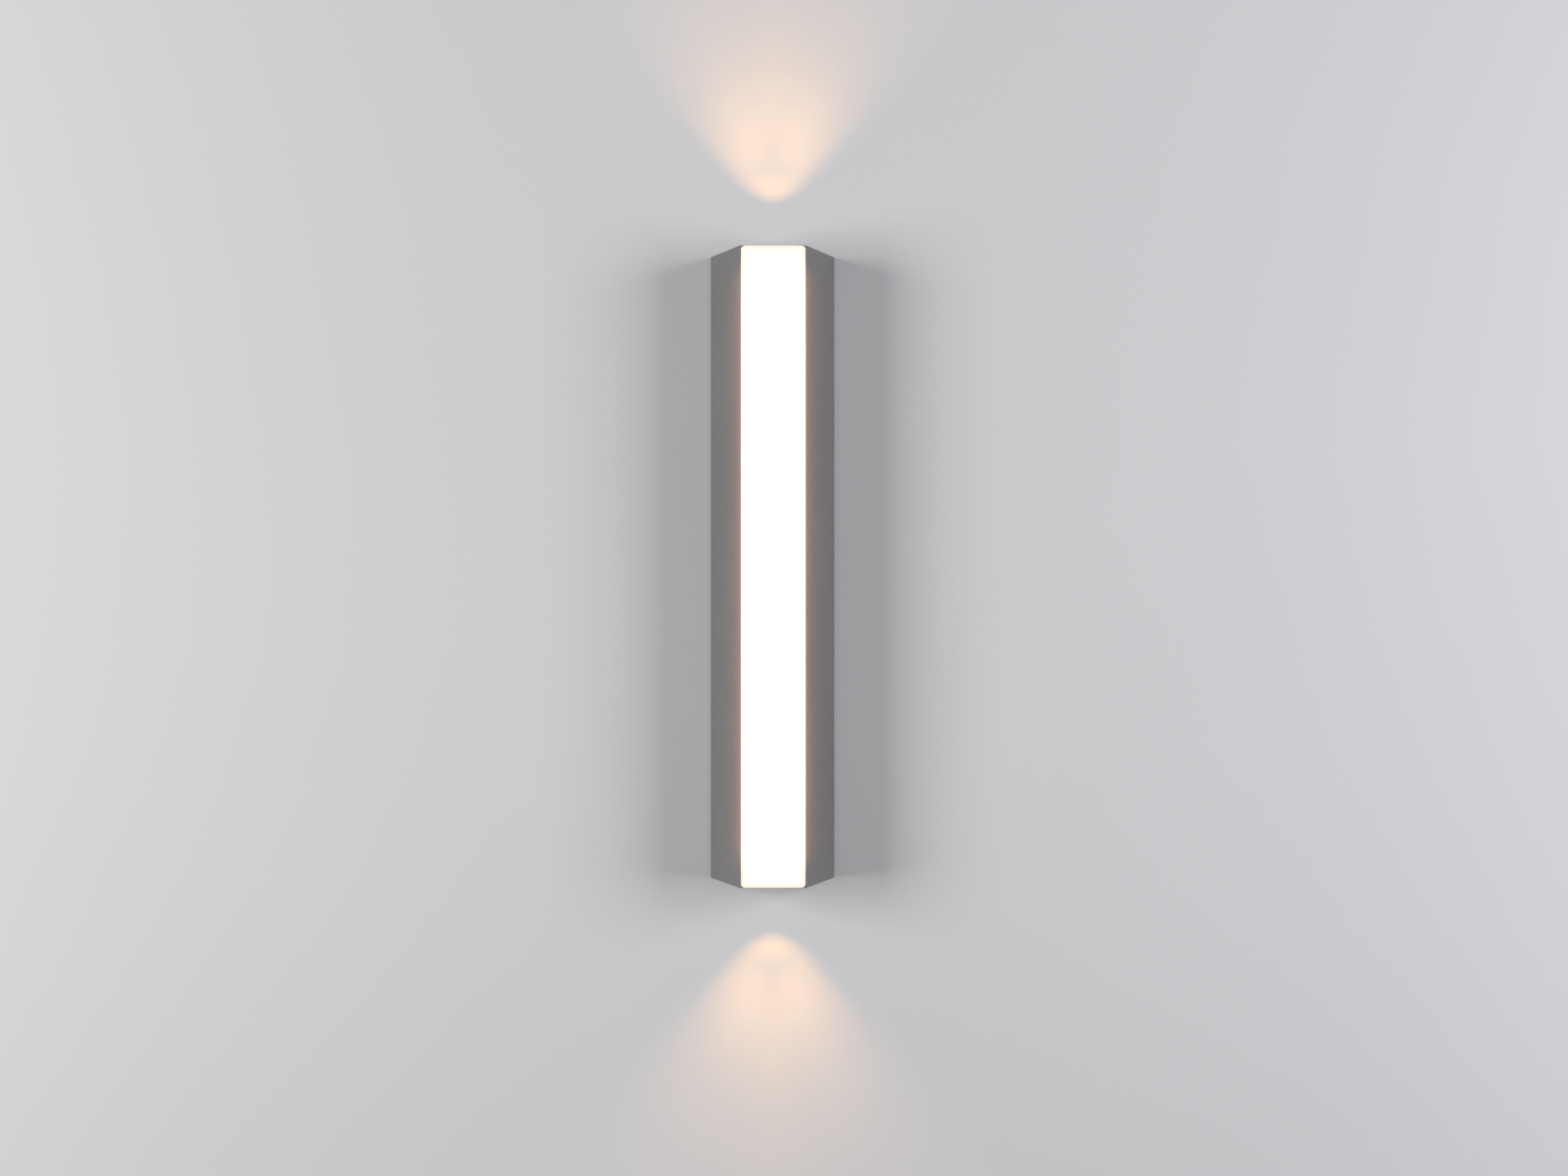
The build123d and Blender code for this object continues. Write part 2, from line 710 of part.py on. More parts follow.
def front_led_board():
    """Long aluminium-core board on the front of the web."""
    reach = CORE_END - BOARD_END_GAP
    depth = (WEB_FRONT, BOARD_FRONT)
    board = block((-BOARD_W / 2, BOARD_W / 2), depth, (-reach, reach))
    for x, z in board_screw_places():
        board -= pin(x, depth, z, M3_ROUND.thread / 2 + HOLE_GAP)
    return board


def front_leds():
    """Two rows of light chips along the front board."""
    reach = CORE_END - BOARD_END_GAP - CHIP_PITCH / 2
    count = int(2 * reach / CHIP_PITCH) + 1
    chips = []
    for x in (-CHIP_ROW_X, CHIP_ROW_X):
        for z in evenly(count, reach):
            wide = (x - CHIP_W / 2, x + CHIP_W / 2)
            tall = (z - CHIP_L / 2, z + CHIP_L / 2)
            chips.append(block(wide, (BOARD_FRONT, CHIP_FRONT), tall))
    return group(chips)


def front_board_screws():
    """Round-headed screws that press the front board to the web."""
    screw = round_screw(M3_ROUND, BOARD_T + WEB_T - TIP_GAP)
    places = board_screw_places()
    return group([place(screw, x, BOARD_FRONT, z, TO_FRONT) for x, z in places])


def spot_window():
    """Clear glass disc behind the end cap's opening."""
    return rod(0, SPOT_DEPTH, (WINDOW_BASE, WINDOW_TOP), WINDOW_R)


def spot_window_seal():
    """Flat ring between the glass and the end cap."""
    ring = rod(0, SPOT_DEPTH, (WINDOW_TOP, WINDOW_SEAT), WINDOW_R)
    return ring - rod(0, SPOT_DEPTH, (WINDOW_TOP, WINDOW_SEAT), SPOT_OPENING_R + HOLE_GAP)


def spot_lens_holder():
    """Black cup that centres the lens and presses the glass to its seal."""
    bore = HOLDER_R - HOLDER_WALL
    floor = HOLDER_BASE + HOLDER_FLOOR_T
    shoulder = HOLDER_BASE + HOLDER_CONE_H
    flange = WINDOW_BASE - HOLDER_FLANGE_T
    cup = turned(
        [
            (HOLDER_HOLE_R, HOLDER_BASE),
            (HOLDER_BASE_R, HOLDER_BASE),
            (HOLDER_R, shoulder),
            (HOLDER_R, flange),
            (WINDOW_R, flange),
            (WINDOW_R, WINDOW_BASE),
            (bore, WINDOW_BASE),
            (bore, shoulder),
            (HOLDER_BASE_R - HOLDER_WALL, floor),
            (HOLDER_HOLE_R, floor),
        ]
    )
    return place(cup, 0, SPOT_DEPTH, 0)


def spot_lens():
    """Clear lens that gathers the spot's light, hollowed over the light chip."""
    lens_r = HOLDER_R - HOLDER_WALL - LENS_GAP
    base = HOLDER_BASE + HOLDER_FLOOR_T
    top = WINDOW_BASE - LENS_SINK
    lens = turned(
        [
            (LENS_RECESS_R, base),
            (HOLDER_BASE_R - HOLDER_WALL - LENS_GAP, base),
            (lens_r, HOLDER_BASE + HOLDER_CONE_H),
            (lens_r, top),
            (0, top),
            (0, base + LENS_RECESS_H),
            (LENS_RECESS_R, base + LENS_RECESS_H),
        ]
    )
    return place(lens, 0, SPOT_DEPTH, 0)


def spot_led():
    """Light chip of the spot: a square base with a dome."""
    half = LED_SIDE / 2
    top = HOLDER_BASE + LED_BASE_T
    base = block((-half, half), (SPOT_DEPTH - half, SPOT_DEPTH + half), (HOLDER_BASE, top))
    dome = place(Sphere(LED_DOME_R), 0, SPOT_DEPTH, top)
    return base + dome - block(
        (-half, half),
        (SPOT_DEPTH - half, SPOT_DEPTH + half),
        (HOLDER_BASE - LED_SIDE, HOLDER_BASE),
    )


def spot_board_outline(z):
    """Slab of the spot board's outline over a (low, high) range."""
    half = SPOT_BOARD_D / 2
    depth = (SPOT_DEPTH - half, SPOT_DEPTH + half)
    return block((-SPOT_BOARD_X, SPOT_BOARD_X), depth, z)


def spot_led_board():
    """Small aluminium-core board under the spot's light chip."""
    return spot_board_outline((SPOT_BOARD_BASE, HOLDER_BASE))


def spot_heat_plate():
    """Aluminium plate that carries the spot and draws off its heat."""
    z = (HEAT_PLATE_BASE, SPOT_BOARD_BASE)
    ears = (SPOT_DEPTH - HEAT_EAR_R, SPOT_DEPTH + HEAT_EAR_R)
    plate = spot_board_outline(z) + block((-POST_X, POST_X), ears, z)
    for side in (-1, 1):
        plate += rod(side * POST_X, SPOT_DEPTH, z, HEAT_EAR_R)
    for side in (-1, 1):
        plate -= rod(side * POST_X, SPOT_DEPTH, z, M3_ROUND.thread / 2 + HOLE_GAP)
        plate -= rod(side * SPOT_LEAD_X, SPOT_DEPTH, z, LEAD_R + WIRE_GAP)
    return plate


def spot_screws():
    """Two screws that pull the heat plate up to the end cap's posts."""
    screw = Rot(180, 0, 0) * round_screw(M3_ROUND, SPOT_SCREW_L)
    return group([place(screw, x, SPOT_DEPTH, HEAT_PLATE_BASE) for x in (-POST_X, POST_X)])


def driver_box(wall, depth):
    """Slab of the driver's outline, drawn in by a wall, over a range of depths."""
    half = BAY_X - wall
    return block((-half, half), depth, (DRIVER_Z + wall, DRIVER_TOP - wall))


def driver_case():
    """Open tray of the driver, with an ear at each end and holes for its wires."""
    rim = DRIVER_BACK + DRIVER_WALL
    floor = WEB_BACK - DRIVER_WALL
    case = driver_box(0, (rim, WEB_BACK)) - driver_box(DRIVER_WALL, (rim, floor))
    ears = (DRIVER_Z - DRIVER_EAR_L, DRIVER_TOP + DRIVER_EAR_L)
    half = DRIVER_EAR_W / 2
    ear_back = WEB_BACK - DRIVER_EAR_T
    for z in ((ears[0], DRIVER_Z), (DRIVER_TOP, ears[1])):
        case += block((-half, half), (ear_back, WEB_BACK), z)
    for z in driver_screw_heights():
        case -= pin(0, (ear_back, WEB_BACK), z, M3_ROUND.thread / 2 + HOLE_GAP)
    rib_half = BAY_X - DRIVER_WALL
    for z in (DRIVER_Z + DRIVER_L / 4, DRIVER_TOP - DRIVER_L / 4):
        rib = (z - DRIVER_WALL / 2, z + DRIVER_WALL / 2)
        case += block((-rib_half, rib_half), (floor - DRIVER_RIB_H, floor), rib)
    for x in (-LEAD_X, LEAD_X):
        inlet = (DRIVER_Z, DRIVER_Z + DRIVER_WALL)
        outlet = (DRIVER_TOP - DRIVER_WALL, DRIVER_TOP)
        case -= rod(x, DRIVER_WIRE_DEPTH, inlet, MAINS_WIRE_R + WIRE_GAP)
        case -= rod(x, DRIVER_WIRE_DEPTH, outlet, LEAD_R + WIRE_GAP)
    return case


def driver_cover():
    """Lid of the driver, with a lip inside the tray's walls."""
    rim = DRIVER_BACK + DRIVER_WALL
    lip = (rim, rim + DRIVER_LIP_H)
    wall = DRIVER_WALL + FIT_GAP
    ring = driver_box(wall, lip) - driver_box(wall + DRIVER_LIP_T, lip)
    return driver_box(0, (DRIVER_BACK, rim)) + ring


def driver_circuit_board():
    """Circuit board on the ribs of the driver's tray."""
    depth = (CIRCUIT_BACK, CIRCUIT_BACK + CIRCUIT_T)
    return driver_box(DRIVER_WALL + CIRCUIT_GAP, depth)


def driver_transformer():
    """Transformer on the circuit board: a ferrite core with its winding."""
    z = DRIVER_Z + DRIVER_L / 2
    core = block(
        (-CORE_W / 2, CORE_W / 2),
        (CIRCUIT_BACK - CORE_H, CIRCUIT_BACK),
        (z - CORE_L / 2, z + CORE_L / 2),
    )
    middle = CIRCUIT_BACK - CORE_H / 2
    coil = block(
        (-COIL_W / 2, COIL_W / 2),
        (middle - COIL_H / 2, middle + COIL_H / 2),
        (z - COIL_L / 2, z + COIL_L / 2),
    )
    return core + coil


def driver_capacitors():
    """Two round capacitors lying on the circuit board."""
    depth = CIRCUIT_BACK - CAPACITOR_R
    low = DRIVER_TOP - DRIVER_WALL - CAPACITOR_STEP - CAPACITOR_L
    cans = [rod(x, depth, (low, low + CAPACITOR_L), CAPACITOR_R) for x in (-CAPACITOR_X, CAPACITOR_X)]
    return group(cans)


def driver_screws():
    """Round-headed screws through the driver's ears into the web."""
    screw = round_screw(M3_ROUND, DRIVER_EAR_T + WEB_T - TIP_GAP)
    seat = WEB_BACK - DRIVER_EAR_T
    return group([place(screw, 0, seat, z, TO_WALL) for z in driver_screw_heights()])


def terminal_fixing_places():
    """Fixing screws of the terminal block, between its poles."""
    return (-TERMINAL_PITCH / 2, TERMINAL_PITCH / 2)


def clamp_screw_heights():
    """Clamp screws of each pole: one for the mains side, one for the inner side."""
    return (TERMINAL_Z - CLAMP_SCREW_Z, TERMINAL_Z + CLAMP_SCREW_Z)


def terminal_block():
    """Moulded body with three poles, screw wells and two fixing holes."""
    z = (TERMINAL_Z - TERMINAL_L / 2, TERMINAL_Z + TERMINAL_L / 2)
    body = block((-BAY_X, BAY_X), (TERMINAL_BACK, WEB_BACK), z)
    channel = CLAMP_SIDE / 2 + FIT_GAP
    for x in POLES:
        body -= block((x - channel, x + channel), (CLAMP_DEPTH - channel, CLAMP_DEPTH + channel), z)
        for height in clamp_screw_heights():
            body -= pin(x, (TERMINAL_BACK, CLAMP_DEPTH), height, TERMINAL_WELL_R)
    seat = WEB_BACK - FIXING_SEAT
    for x in terminal_fixing_places():
        body -= pin(x, (TERMINAL_BACK, seat), TERMINAL_Z, M2_5_ROUND.head / 2 + HOLE_GAP)
        body -= pin(x, (seat, WEB_BACK), TERMINAL_Z, M2_5_ROUND.thread / 2 + HOLE_GAP)
    return body


def terminal_clamps():
    """Brass clamps of the three poles."""
    half = CLAMP_SIDE / 2
    z = (TERMINAL_Z - CLAMP_L / 2, TERMINAL_Z + CLAMP_L / 2)
    clamps = []
    for x in POLES:
        clamp = block((x - half, x + half), (CLAMP_DEPTH - half, CLAMP_DEPTH + half), z)
        clamp -= rod(x, CLAMP_DEPTH, z, CLAMP_BORE_R)
        for height in clamp_screw_heights():
            clamp -= pin(x, (CLAMP_DEPTH - half, CLAMP_DEPTH), height, M2_5_ROUND.thread / 2)
        clamps.append(clamp)
    return group(clamps)


def terminal_clamp_screws():
    """Screws that press each wire in its clamp."""
    seat = CLAMP_DEPTH - CLAMP_SIDE / 2
    screw = round_screw(M2_5_ROUND, CLAMP_SIDE / 2 - MAINS_WIRE_R - TIP_GAP)
    places = [(x, z) for x in POLES for z in clamp_screw_heights()]
    return group([place(screw, x, seat, z, TO_WALL) for x, z in places])


def terminal_fixing_screws():
    """Screws that hold the terminal block on the web."""
    screw = round_screw(M2_5_ROUND, FIXING_SEAT + WEB_T - TIP_GAP)
    seat = WEB_BACK - FIXING_SEAT
    return group([place(screw, x, seat, TERMINAL_Z, TO_WALL) for x in terminal_fixing_places()])


def earth_barrel():
    """Height range and depth of the earth tag's barrel."""
    top = EARTH_Z - TAG_R - FIT_GAP
    return (top - BARREL_L, top), WEB_BACK - BARREL_R


def earth_tag():
    """Ring tag under the earth screw, with a barrel for its wire."""
    z, depth = earth_barrel()
    flat = (WEB_BACK - TAG_T, WEB_BACK)
    tag = pin(EARTH_X, flat, EARTH_Z, TAG_R) + rod(EARTH_X, depth, z, BARREL_R)
    neck = (EARTH_X - TAG_NECK_W / 2, EARTH_X + TAG_NECK_W / 2)
    tag += block(neck, flat, (z[0], EARTH_Z))
    tag -= rod(EARTH_X, depth, z, MAINS_WIRE_R + THREAD_GAP)
    return tag - pin(EARTH_X, flat, EARTH_Z, M4_ROUND.thread / 2 + HOLE_GAP)


def earth_screw():
    """Screw that holds the earth tag on the web."""
    screw = round_screw(M4_ROUND, TAG_T + WEB_T - TIP_GAP)
    return place(screw, EARTH_X, WEB_BACK - TAG_T, EARTH_Z, TO_WALL)


def mains_wire(pole_x, driver_x):
    """Wire from a pole's clamp up into the driver."""
    start = TERMINAL_Z + CLAMP_SCREW_Z
    out = TERMINAL_Z + TERMINAL_L / 2
    lead_in = DRIVER_Z - DRIVER_EAR_L
    points = [
        (pole_x, CLAMP_DEPTH, start),
        (pole_x, CLAMP_DEPTH, out + MAINS_WIRE_RISE),
        (driver_x, DRIVER_WIRE_DEPTH, lead_in),
        (driver_x, DRIVER_WIRE_DEPTH, DRIVER_Z + 2 * DRIVER_WALL),
    ]
    return wire(points, MAINS_WIRE_R)


def earth_wire():
    """Wire from the earth pole's clamp to the barrel of the earth tag."""
    z, depth = earth_barrel()
    points = [
        (POLES[2], CLAMP_DEPTH, TERMINAL_Z + CLAMP_SCREW_Z),
        (POLES[2], CLAMP_DEPTH, TERMINAL_Z + TERMINAL_L / 2 + MAINS_WIRE_R),
        (EARTH_X, depth, z[0] - BARREL_L),
        (EARTH_X, depth, z[1]),
    ]
    return wire(points, MAINS_WIRE_R)


def lead_set(side):
    """Leads of one polarity: driver to front board, and front board to each spot."""
    x = side * LEAD_X
    to_board = wire(
        [
            (x, DRIVER_WIRE_DEPTH, DRIVER_TOP - 2 * DRIVER_WALL),
            (x, DRIVER_WIRE_DEPTH, FRONT_LEAD_Z),
            (x, WEB_FRONT, FRONT_LEAD_Z),
        ],
        LEAD_R,
    )
    to_spot = wire(
        [
            (x, WEB_FRONT, SPOT_LEAD_Z),
            (x, (WEB_BACK + SPOT_DEPTH) / 2, SPOT_LEAD_Z),
            (side * SPOT_LEAD_X, SPOT_DEPTH, (SPOT_LEAD_Z + HEAT_PLATE_BASE) / 2),
            (side * SPOT_LEAD_X, SPOT_DEPTH, SPOT_BOARD_BASE),
        ],
        LEAD_R,
    )
    return group([to_board, to_spot, at_bottom(to_spot)])


SINGLE_PIECES = {
    "wall_bracket": wall_bracket,
    "wall_seal": wall_seal,
    "housing_profile": housing_profile,
    "end_cap_screws": end_cap_screws,
    "securing_nuts": securing_nuts,
    "back_plate": back_plate,
    "back_plate_seal": back_plate_seal,
    "back_plate_screws": back_plate_screws,
    "cable_grommet": cable_grommet,
    "front_diffuser": front_diffuser,
    "diffuser_seals": diffuser_seals,
    "front_led_board": front_led_board,
    "front_leds": front_leds,
    "front_board_screws": front_board_screws,
    "driver_case": driver_case,
    "driver_cover": driver_cover,
    "driver_circuit_board": driver_circuit_board,
    "driver_transformer": driver_transformer,
    "driver_capacitors": driver_capacitors,
    "driver_screws": driver_screws,
    "terminal_block": terminal_block,
    "terminal_clamps": terminal_clamps,
    "terminal_clamp_screws": terminal_clamp_screws,
    "terminal_fixing_screws": terminal_fixing_screws,
    "earth_tag": earth_tag,
    "earth_screw": earth_screw,
    "earth_wire": earth_wire,
}

# Pieces that each end has, built at the top and mirrored for the bottom
END_PIECES = {
    "end_cap": top_end_cap,
    "cap_seal": top_cap_seal,
    "securing_screw": top_securing_screw,
    "spot_window": spot_window,
    "spot_window_seal": spot_window_seal,
    "spot_lens_holder": spot_lens_holder,
    "spot_lens": spot_lens,
    "spot_led": spot_led,
    "spot_led_board": spot_led_board,
    "spot_heat_plate": spot_heat_plate,
    "spot_screws": spot_screws,
}

pieces = {name: build() for name, build in SINGLE_PIECES.items()}
for name, build in END_PIECES.items():
    upper = build()
    pieces["top_" + name] = upper
    pieces["bottom_" + name] = at_bottom(upper)
pieces["live_wire"] = mains_wire(POLES[0], -LEAD_X)
pieces["neutral_wire"] = mains_wire(POLES[1], LEAD_X)
pieces["positive_leads"] = lead_set(-1)
pieces["negative_leads"] = lead_set(1)

os.makedirs("parts", exist_ok=True)
for name, shape in pieces.items():
    export_step(shape, f"parts/{name}.step")
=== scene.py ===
"""Looks of a slim outdoor wall light: finishes, moulded pieces, wall, lamps and camera."""

import json
import logging
import math
from collections.abc import Sequence
from dataclasses import dataclass, field
from enum import Enum
from typing import Any

import bmesh
import bpy
from mathutils import Matrix, Vector

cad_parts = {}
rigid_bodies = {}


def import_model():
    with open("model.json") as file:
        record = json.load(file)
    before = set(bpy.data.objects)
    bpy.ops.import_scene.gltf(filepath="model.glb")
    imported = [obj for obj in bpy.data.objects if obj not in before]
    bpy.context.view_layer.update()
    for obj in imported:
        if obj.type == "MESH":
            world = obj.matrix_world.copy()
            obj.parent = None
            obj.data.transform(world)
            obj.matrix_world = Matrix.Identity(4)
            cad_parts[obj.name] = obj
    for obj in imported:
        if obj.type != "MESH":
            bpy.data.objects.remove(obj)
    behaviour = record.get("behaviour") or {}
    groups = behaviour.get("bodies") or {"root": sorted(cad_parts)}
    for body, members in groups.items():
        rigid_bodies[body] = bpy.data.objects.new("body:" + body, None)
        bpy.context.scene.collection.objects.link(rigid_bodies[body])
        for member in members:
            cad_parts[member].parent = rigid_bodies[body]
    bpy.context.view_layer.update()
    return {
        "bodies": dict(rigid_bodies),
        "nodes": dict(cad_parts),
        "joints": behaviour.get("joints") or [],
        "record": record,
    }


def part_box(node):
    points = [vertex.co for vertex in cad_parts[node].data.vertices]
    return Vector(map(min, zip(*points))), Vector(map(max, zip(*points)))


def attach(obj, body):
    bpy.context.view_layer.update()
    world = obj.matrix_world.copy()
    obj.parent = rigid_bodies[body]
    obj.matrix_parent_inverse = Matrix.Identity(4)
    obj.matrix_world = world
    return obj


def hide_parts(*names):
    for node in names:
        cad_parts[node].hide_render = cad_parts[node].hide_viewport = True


LOG = logging.getLogger("wall_light")
MM = 0.001
LIGHT_BODY = "light_body"
SHARP_ANGLE = math.radians(35)
MERGE_DISTANCE = 1e-7
ROUNDING_SEGMENTS = 3
UP_TO_FRONT = Matrix.Rotation(math.pi / 2, 4, "X")
SOCKET_KINDS = {"Vector": "Vector", "Stretch": "Vector", "Colour": "Color"}

Colour = tuple[float, float, float]
Point = tuple[float, float, float]
Range = tuple[float, float]
Pair = tuple[float, float]
Corner = tuple[float, float]
Profile = Sequence[Corner]
Shape = bmesh.types.BMesh
Socket = bpy.types.NodeSocket


class End(Enum):
    """The two ends of the light, with the way each faces along Z."""

    TOP = 1
    BOTTOM = -1

    @property
    def prefix(self) -> str:
        """Start of the names of this end's nodes."""
        return self.name.lower()

    def outer(self, node: str) -> float:
        """Height of a node's face towards this end."""
        return max((corner.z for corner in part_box(node)), key=lambda height: height * self.value)

    def inner(self, node: str) -> float:
        """Height of a node's face away from this end."""
        return min((corner.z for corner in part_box(node)), key=lambda height: height * self.value)


class Side(Enum):
    """The two slanted sides, with the way each faces along X."""

    LEFT = -1
    RIGHT = 1


class Effect(Enum):
    """Surface effects that several finishes share, each one a node group."""

    TONE = "slow_tone"
    GRAIN = "fine_grain"
    DRAWN = "drawn_lines"
    SMUDGE = "handling_smudge"
    CELLS = "small_cells"


class Graph:
    """Nodes and links of one shader tree."""

    def __init__(self, tree: bpy.types.NodeTree) -> None:
        """Starts on an emptied tree."""
        self.tree = tree
        tree.nodes.clear()

    def add(self, kind: str, feeds: dict[Any, Any] | None = None, **settings: Any) -> bpy.types.Node:
        """Adds a node.

        Args:
            kind: Blender's name of the node without its ShaderNode prefix.
            feeds: A socket to link or a plain value, by input name or number.
            settings: Properties of the node itself.

        Returns:
            The new node.
        """
        node = self.tree.nodes.new("ShaderNode" + kind)
        for name, value in settings.items():
            setattr(node, name, value)
        for key, value in (feeds or {}).items():
            self.feed(node.inputs[key], value)
        return node

    def feed(self, socket: Socket, value: Any) -> None:
        """Links a socket into an input, or sets a plain value on it.

        Args:
            socket: The input.
            value: An output socket, number, colour or vector.
        """
        if isinstance(value, Socket):
            self.tree.links.new(value, socket)
        elif socket.type == "RGBA":
            socket.default_value = (*value, 1.0)
        else:
            socket.default_value = value

    def calc(self, operation: str, *values: Any) -> Socket:
        """Works out one number from its inputs in order."""
        return self.add("Math", dict(enumerate(values)), operation=operation).outputs[0]

    def remap(self, value: Any, source: tuple[Any, Any], target: tuple[Any, Any]) -> Socket:
        """Maps a range of numbers smoothly on another.

        Args:
            value: The number.
            source: Its range.
            target: The range of the result.

        Returns:
            The mapped number, held inside the target.
        """
        feeds = {"Value": value, "From Min": source[0], "From Max": source[1]}
        feeds |= {"To Min": target[0], "To Max": target[1]}
        return self.add("MapRange", feeds, interpolation_type="SMOOTHSTEP").outputs["Result"]

    def blend(self, share: Any, first: Any, second: Any) -> Socket:
        """Mixes two colours, where a share of 0 gives the first and 1 the second."""
        return self.add("Mix", {0: share, 6: first, 7: second}, data_type="RGBA").outputs[2]

    def noise(self, where: Any, scale: Any, octaves: float, twist: float = 0.0) -> Socket:
        """Adds a noise pattern of so many waves to the metre."""
        feeds = {"Vector": where, "Scale": scale, "Detail": octaves, "Distortion": twist}
        return self.add("TexNoise", feeds).outputs["Fac"]


@dataclass
class EffectShop:
    """Builds each shared effect once.

    Attributes:
        noise_span: Where most of a noise lies.
        tone_octaves: Octaves of the slow drift.
        grain_octaves: Octaves of the grain's rounded bumps.
        fine_octaves: Octaves of the fine bumps on them.
        fine_ratio: How much finer the fine bumps are.
        fine_share: Height of the fine bumps beside the rounded ones.
        speck_span: Noise over which a speck fades in.
        rich_octaves: Octaves of the drawn lines and of the smudges.
        haze_twist: How far the smudges are drawn out.
        haze_span: Noise over which the gloss changes.
        cell_reach: Distances from a cell's middle between which it rises.
        pore_reach: Distances between which the painted shade of its pore ends.
        groups: Node group of each effect.
    """

    noise_span: Range = (0.3, 0.7)
    tone_octaves: float = 3.0
    grain_octaves: float = 2.0
    fine_octaves: float = 1.0
    fine_ratio: float = 3.3
    fine_share: float = 0.4
    speck_span: Range = (0.56, 0.72)
    rich_octaves: float = 4.0
    haze_twist: float = 0.8
    haze_span: Range = (0.32, 0.68)
    cell_reach: Range = (0.0, 0.7)
    pore_reach: Range = (0.1, 0.4)
    groups: dict[Effect, bpy.types.NodeTree] = field(default_factory=dict)

    def __post_init__(self) -> None:
        """Builds the effects."""
        self.build_tone()
        self.build_grain()
        self.build_drawn()
        self.build_smudge()
        self.build_cells()

    def start(
        self, effect: Effect, inputs: Sequence[str], outputs: Sequence[str]
    ) -> tuple[Graph, bpy.types.NodeOutputs, bpy.types.NodeInputs]:
        """Opens a new group with its sockets.

        Args:
            effect: Which effect it is for.
            inputs: Names of its inputs beside Vector and Scale.
            outputs: Names of its outputs.

        Returns:
            The group's graph, the sockets that come in and those that go out.
        """
        tree = bpy.data.node_groups.new(effect.value, "ShaderNodeTree")
        for way, names in (("INPUT", ("Vector", "Scale", *inputs)), ("OUTPUT", outputs)):
            for name in names:
                kind = "NodeSocket" + SOCKET_KINDS.get(name, "Float")
                tree.interface.new_socket(name, in_out=way, socket_type=kind)
        self.groups[effect] = tree
        return Graph(tree), tree.nodes.new("NodeGroupInput").outputs, tree.nodes.new("NodeGroupOutput").inputs

    def build_tone(self) -> None:
        """Makes the slow drift of a colour's lightness."""
        graph, given, result = self.start(Effect.TONE, ("Colour", "Amount"), ("Colour",))
        drift = graph.noise(given["Vector"], given["Scale"], self.tone_octaves)
        darkest = graph.calc("SUBTRACT", 1.0, given["Amount"])
        lightest = graph.calc("ADD", 1.0, given["Amount"])
        share = graph.remap(drift, self.noise_span, (darkest, lightest))
        toned = graph.add("VectorMath", {0: given["Colour"], "Scale": share}, operation="SCALE")
        graph.feed(result["Colour"], toned.outputs[0])

    def build_grain(self) -> None:
        """Makes the fine rounded grain of a sprayed or moulded skin, and its specks."""
        graph, given, result = self.start(Effect.GRAIN, (), ("Height", "Specks"))
        coarse = graph.noise(given["Vector"], given["Scale"], self.grain_octaves)
        finer = graph.calc("MULTIPLY", given["Scale"], self.fine_ratio)
        fine = graph.noise(given["Vector"], finer, self.fine_octaves)
        graph.feed(result["Height"], graph.calc("MULTIPLY_ADD", fine, self.fine_share, coarse))
        graph.feed(result["Specks"], graph.remap(fine, self.speck_span, (0.0, 1.0)))

    def build_drawn(self) -> None:
        """Makes the fine parallel lines of rolled, drawn or turned metal."""
        graph, given, result = self.start(Effect.DRAWN, ("Stretch",), ("Height", "Shade"))
        feeds = {0: given["Vector"], 1: given["Stretch"]}
        lines = graph.add("VectorMath", feeds, operation="MULTIPLY").outputs[0]
        height = graph.noise(lines, given["Scale"], self.rich_octaves)
        graph.feed(result["Height"], height)
        graph.feed(result["Shade"], graph.remap(height, self.noise_span, (0.0, 1.0)))

    def build_smudge(self) -> None:
        """Makes the uneven gloss of making and handling."""
        graph, given, result = self.start(Effect.SMUDGE, ("Low", "High"), ("Value",))
        haze = graph.noise(given["Vector"], given["Scale"], self.rich_octaves, self.haze_twist)
        graph.feed(result["Value"], graph.remap(haze, self.haze_span, (given["Low"], given["High"])))

    def build_cells(self) -> None:
        """Makes small rounded cells, as in foam or a pebbled lens, and a mask for painted shade in their
        pores.
        """
        graph, given, result = self.start(Effect.CELLS, (), ("Height", "Pores"))
        cells = graph.add("TexVoronoi", {"Vector": given["Vector"], "Scale": given["Scale"]})
        away = cells.outputs["Distance"]
        graph.feed(result["Height"], graph.remap(away, self.cell_reach, (0.0, 1.0)))
        # mask of the painted shade in each cell's pore, darkest at the pit's middle
        graph.feed(result["Pores"], graph.remap(away, self.pore_reach, (1.0, 0.0)))


@dataclass(frozen=True)
class Relief:
    """Raised pattern of a surface.

    Attributes:
        depth_mm: Its depth.
        strength: How much of it shows, from 0 to 1.
    """

    depth_mm: float
    strength: float


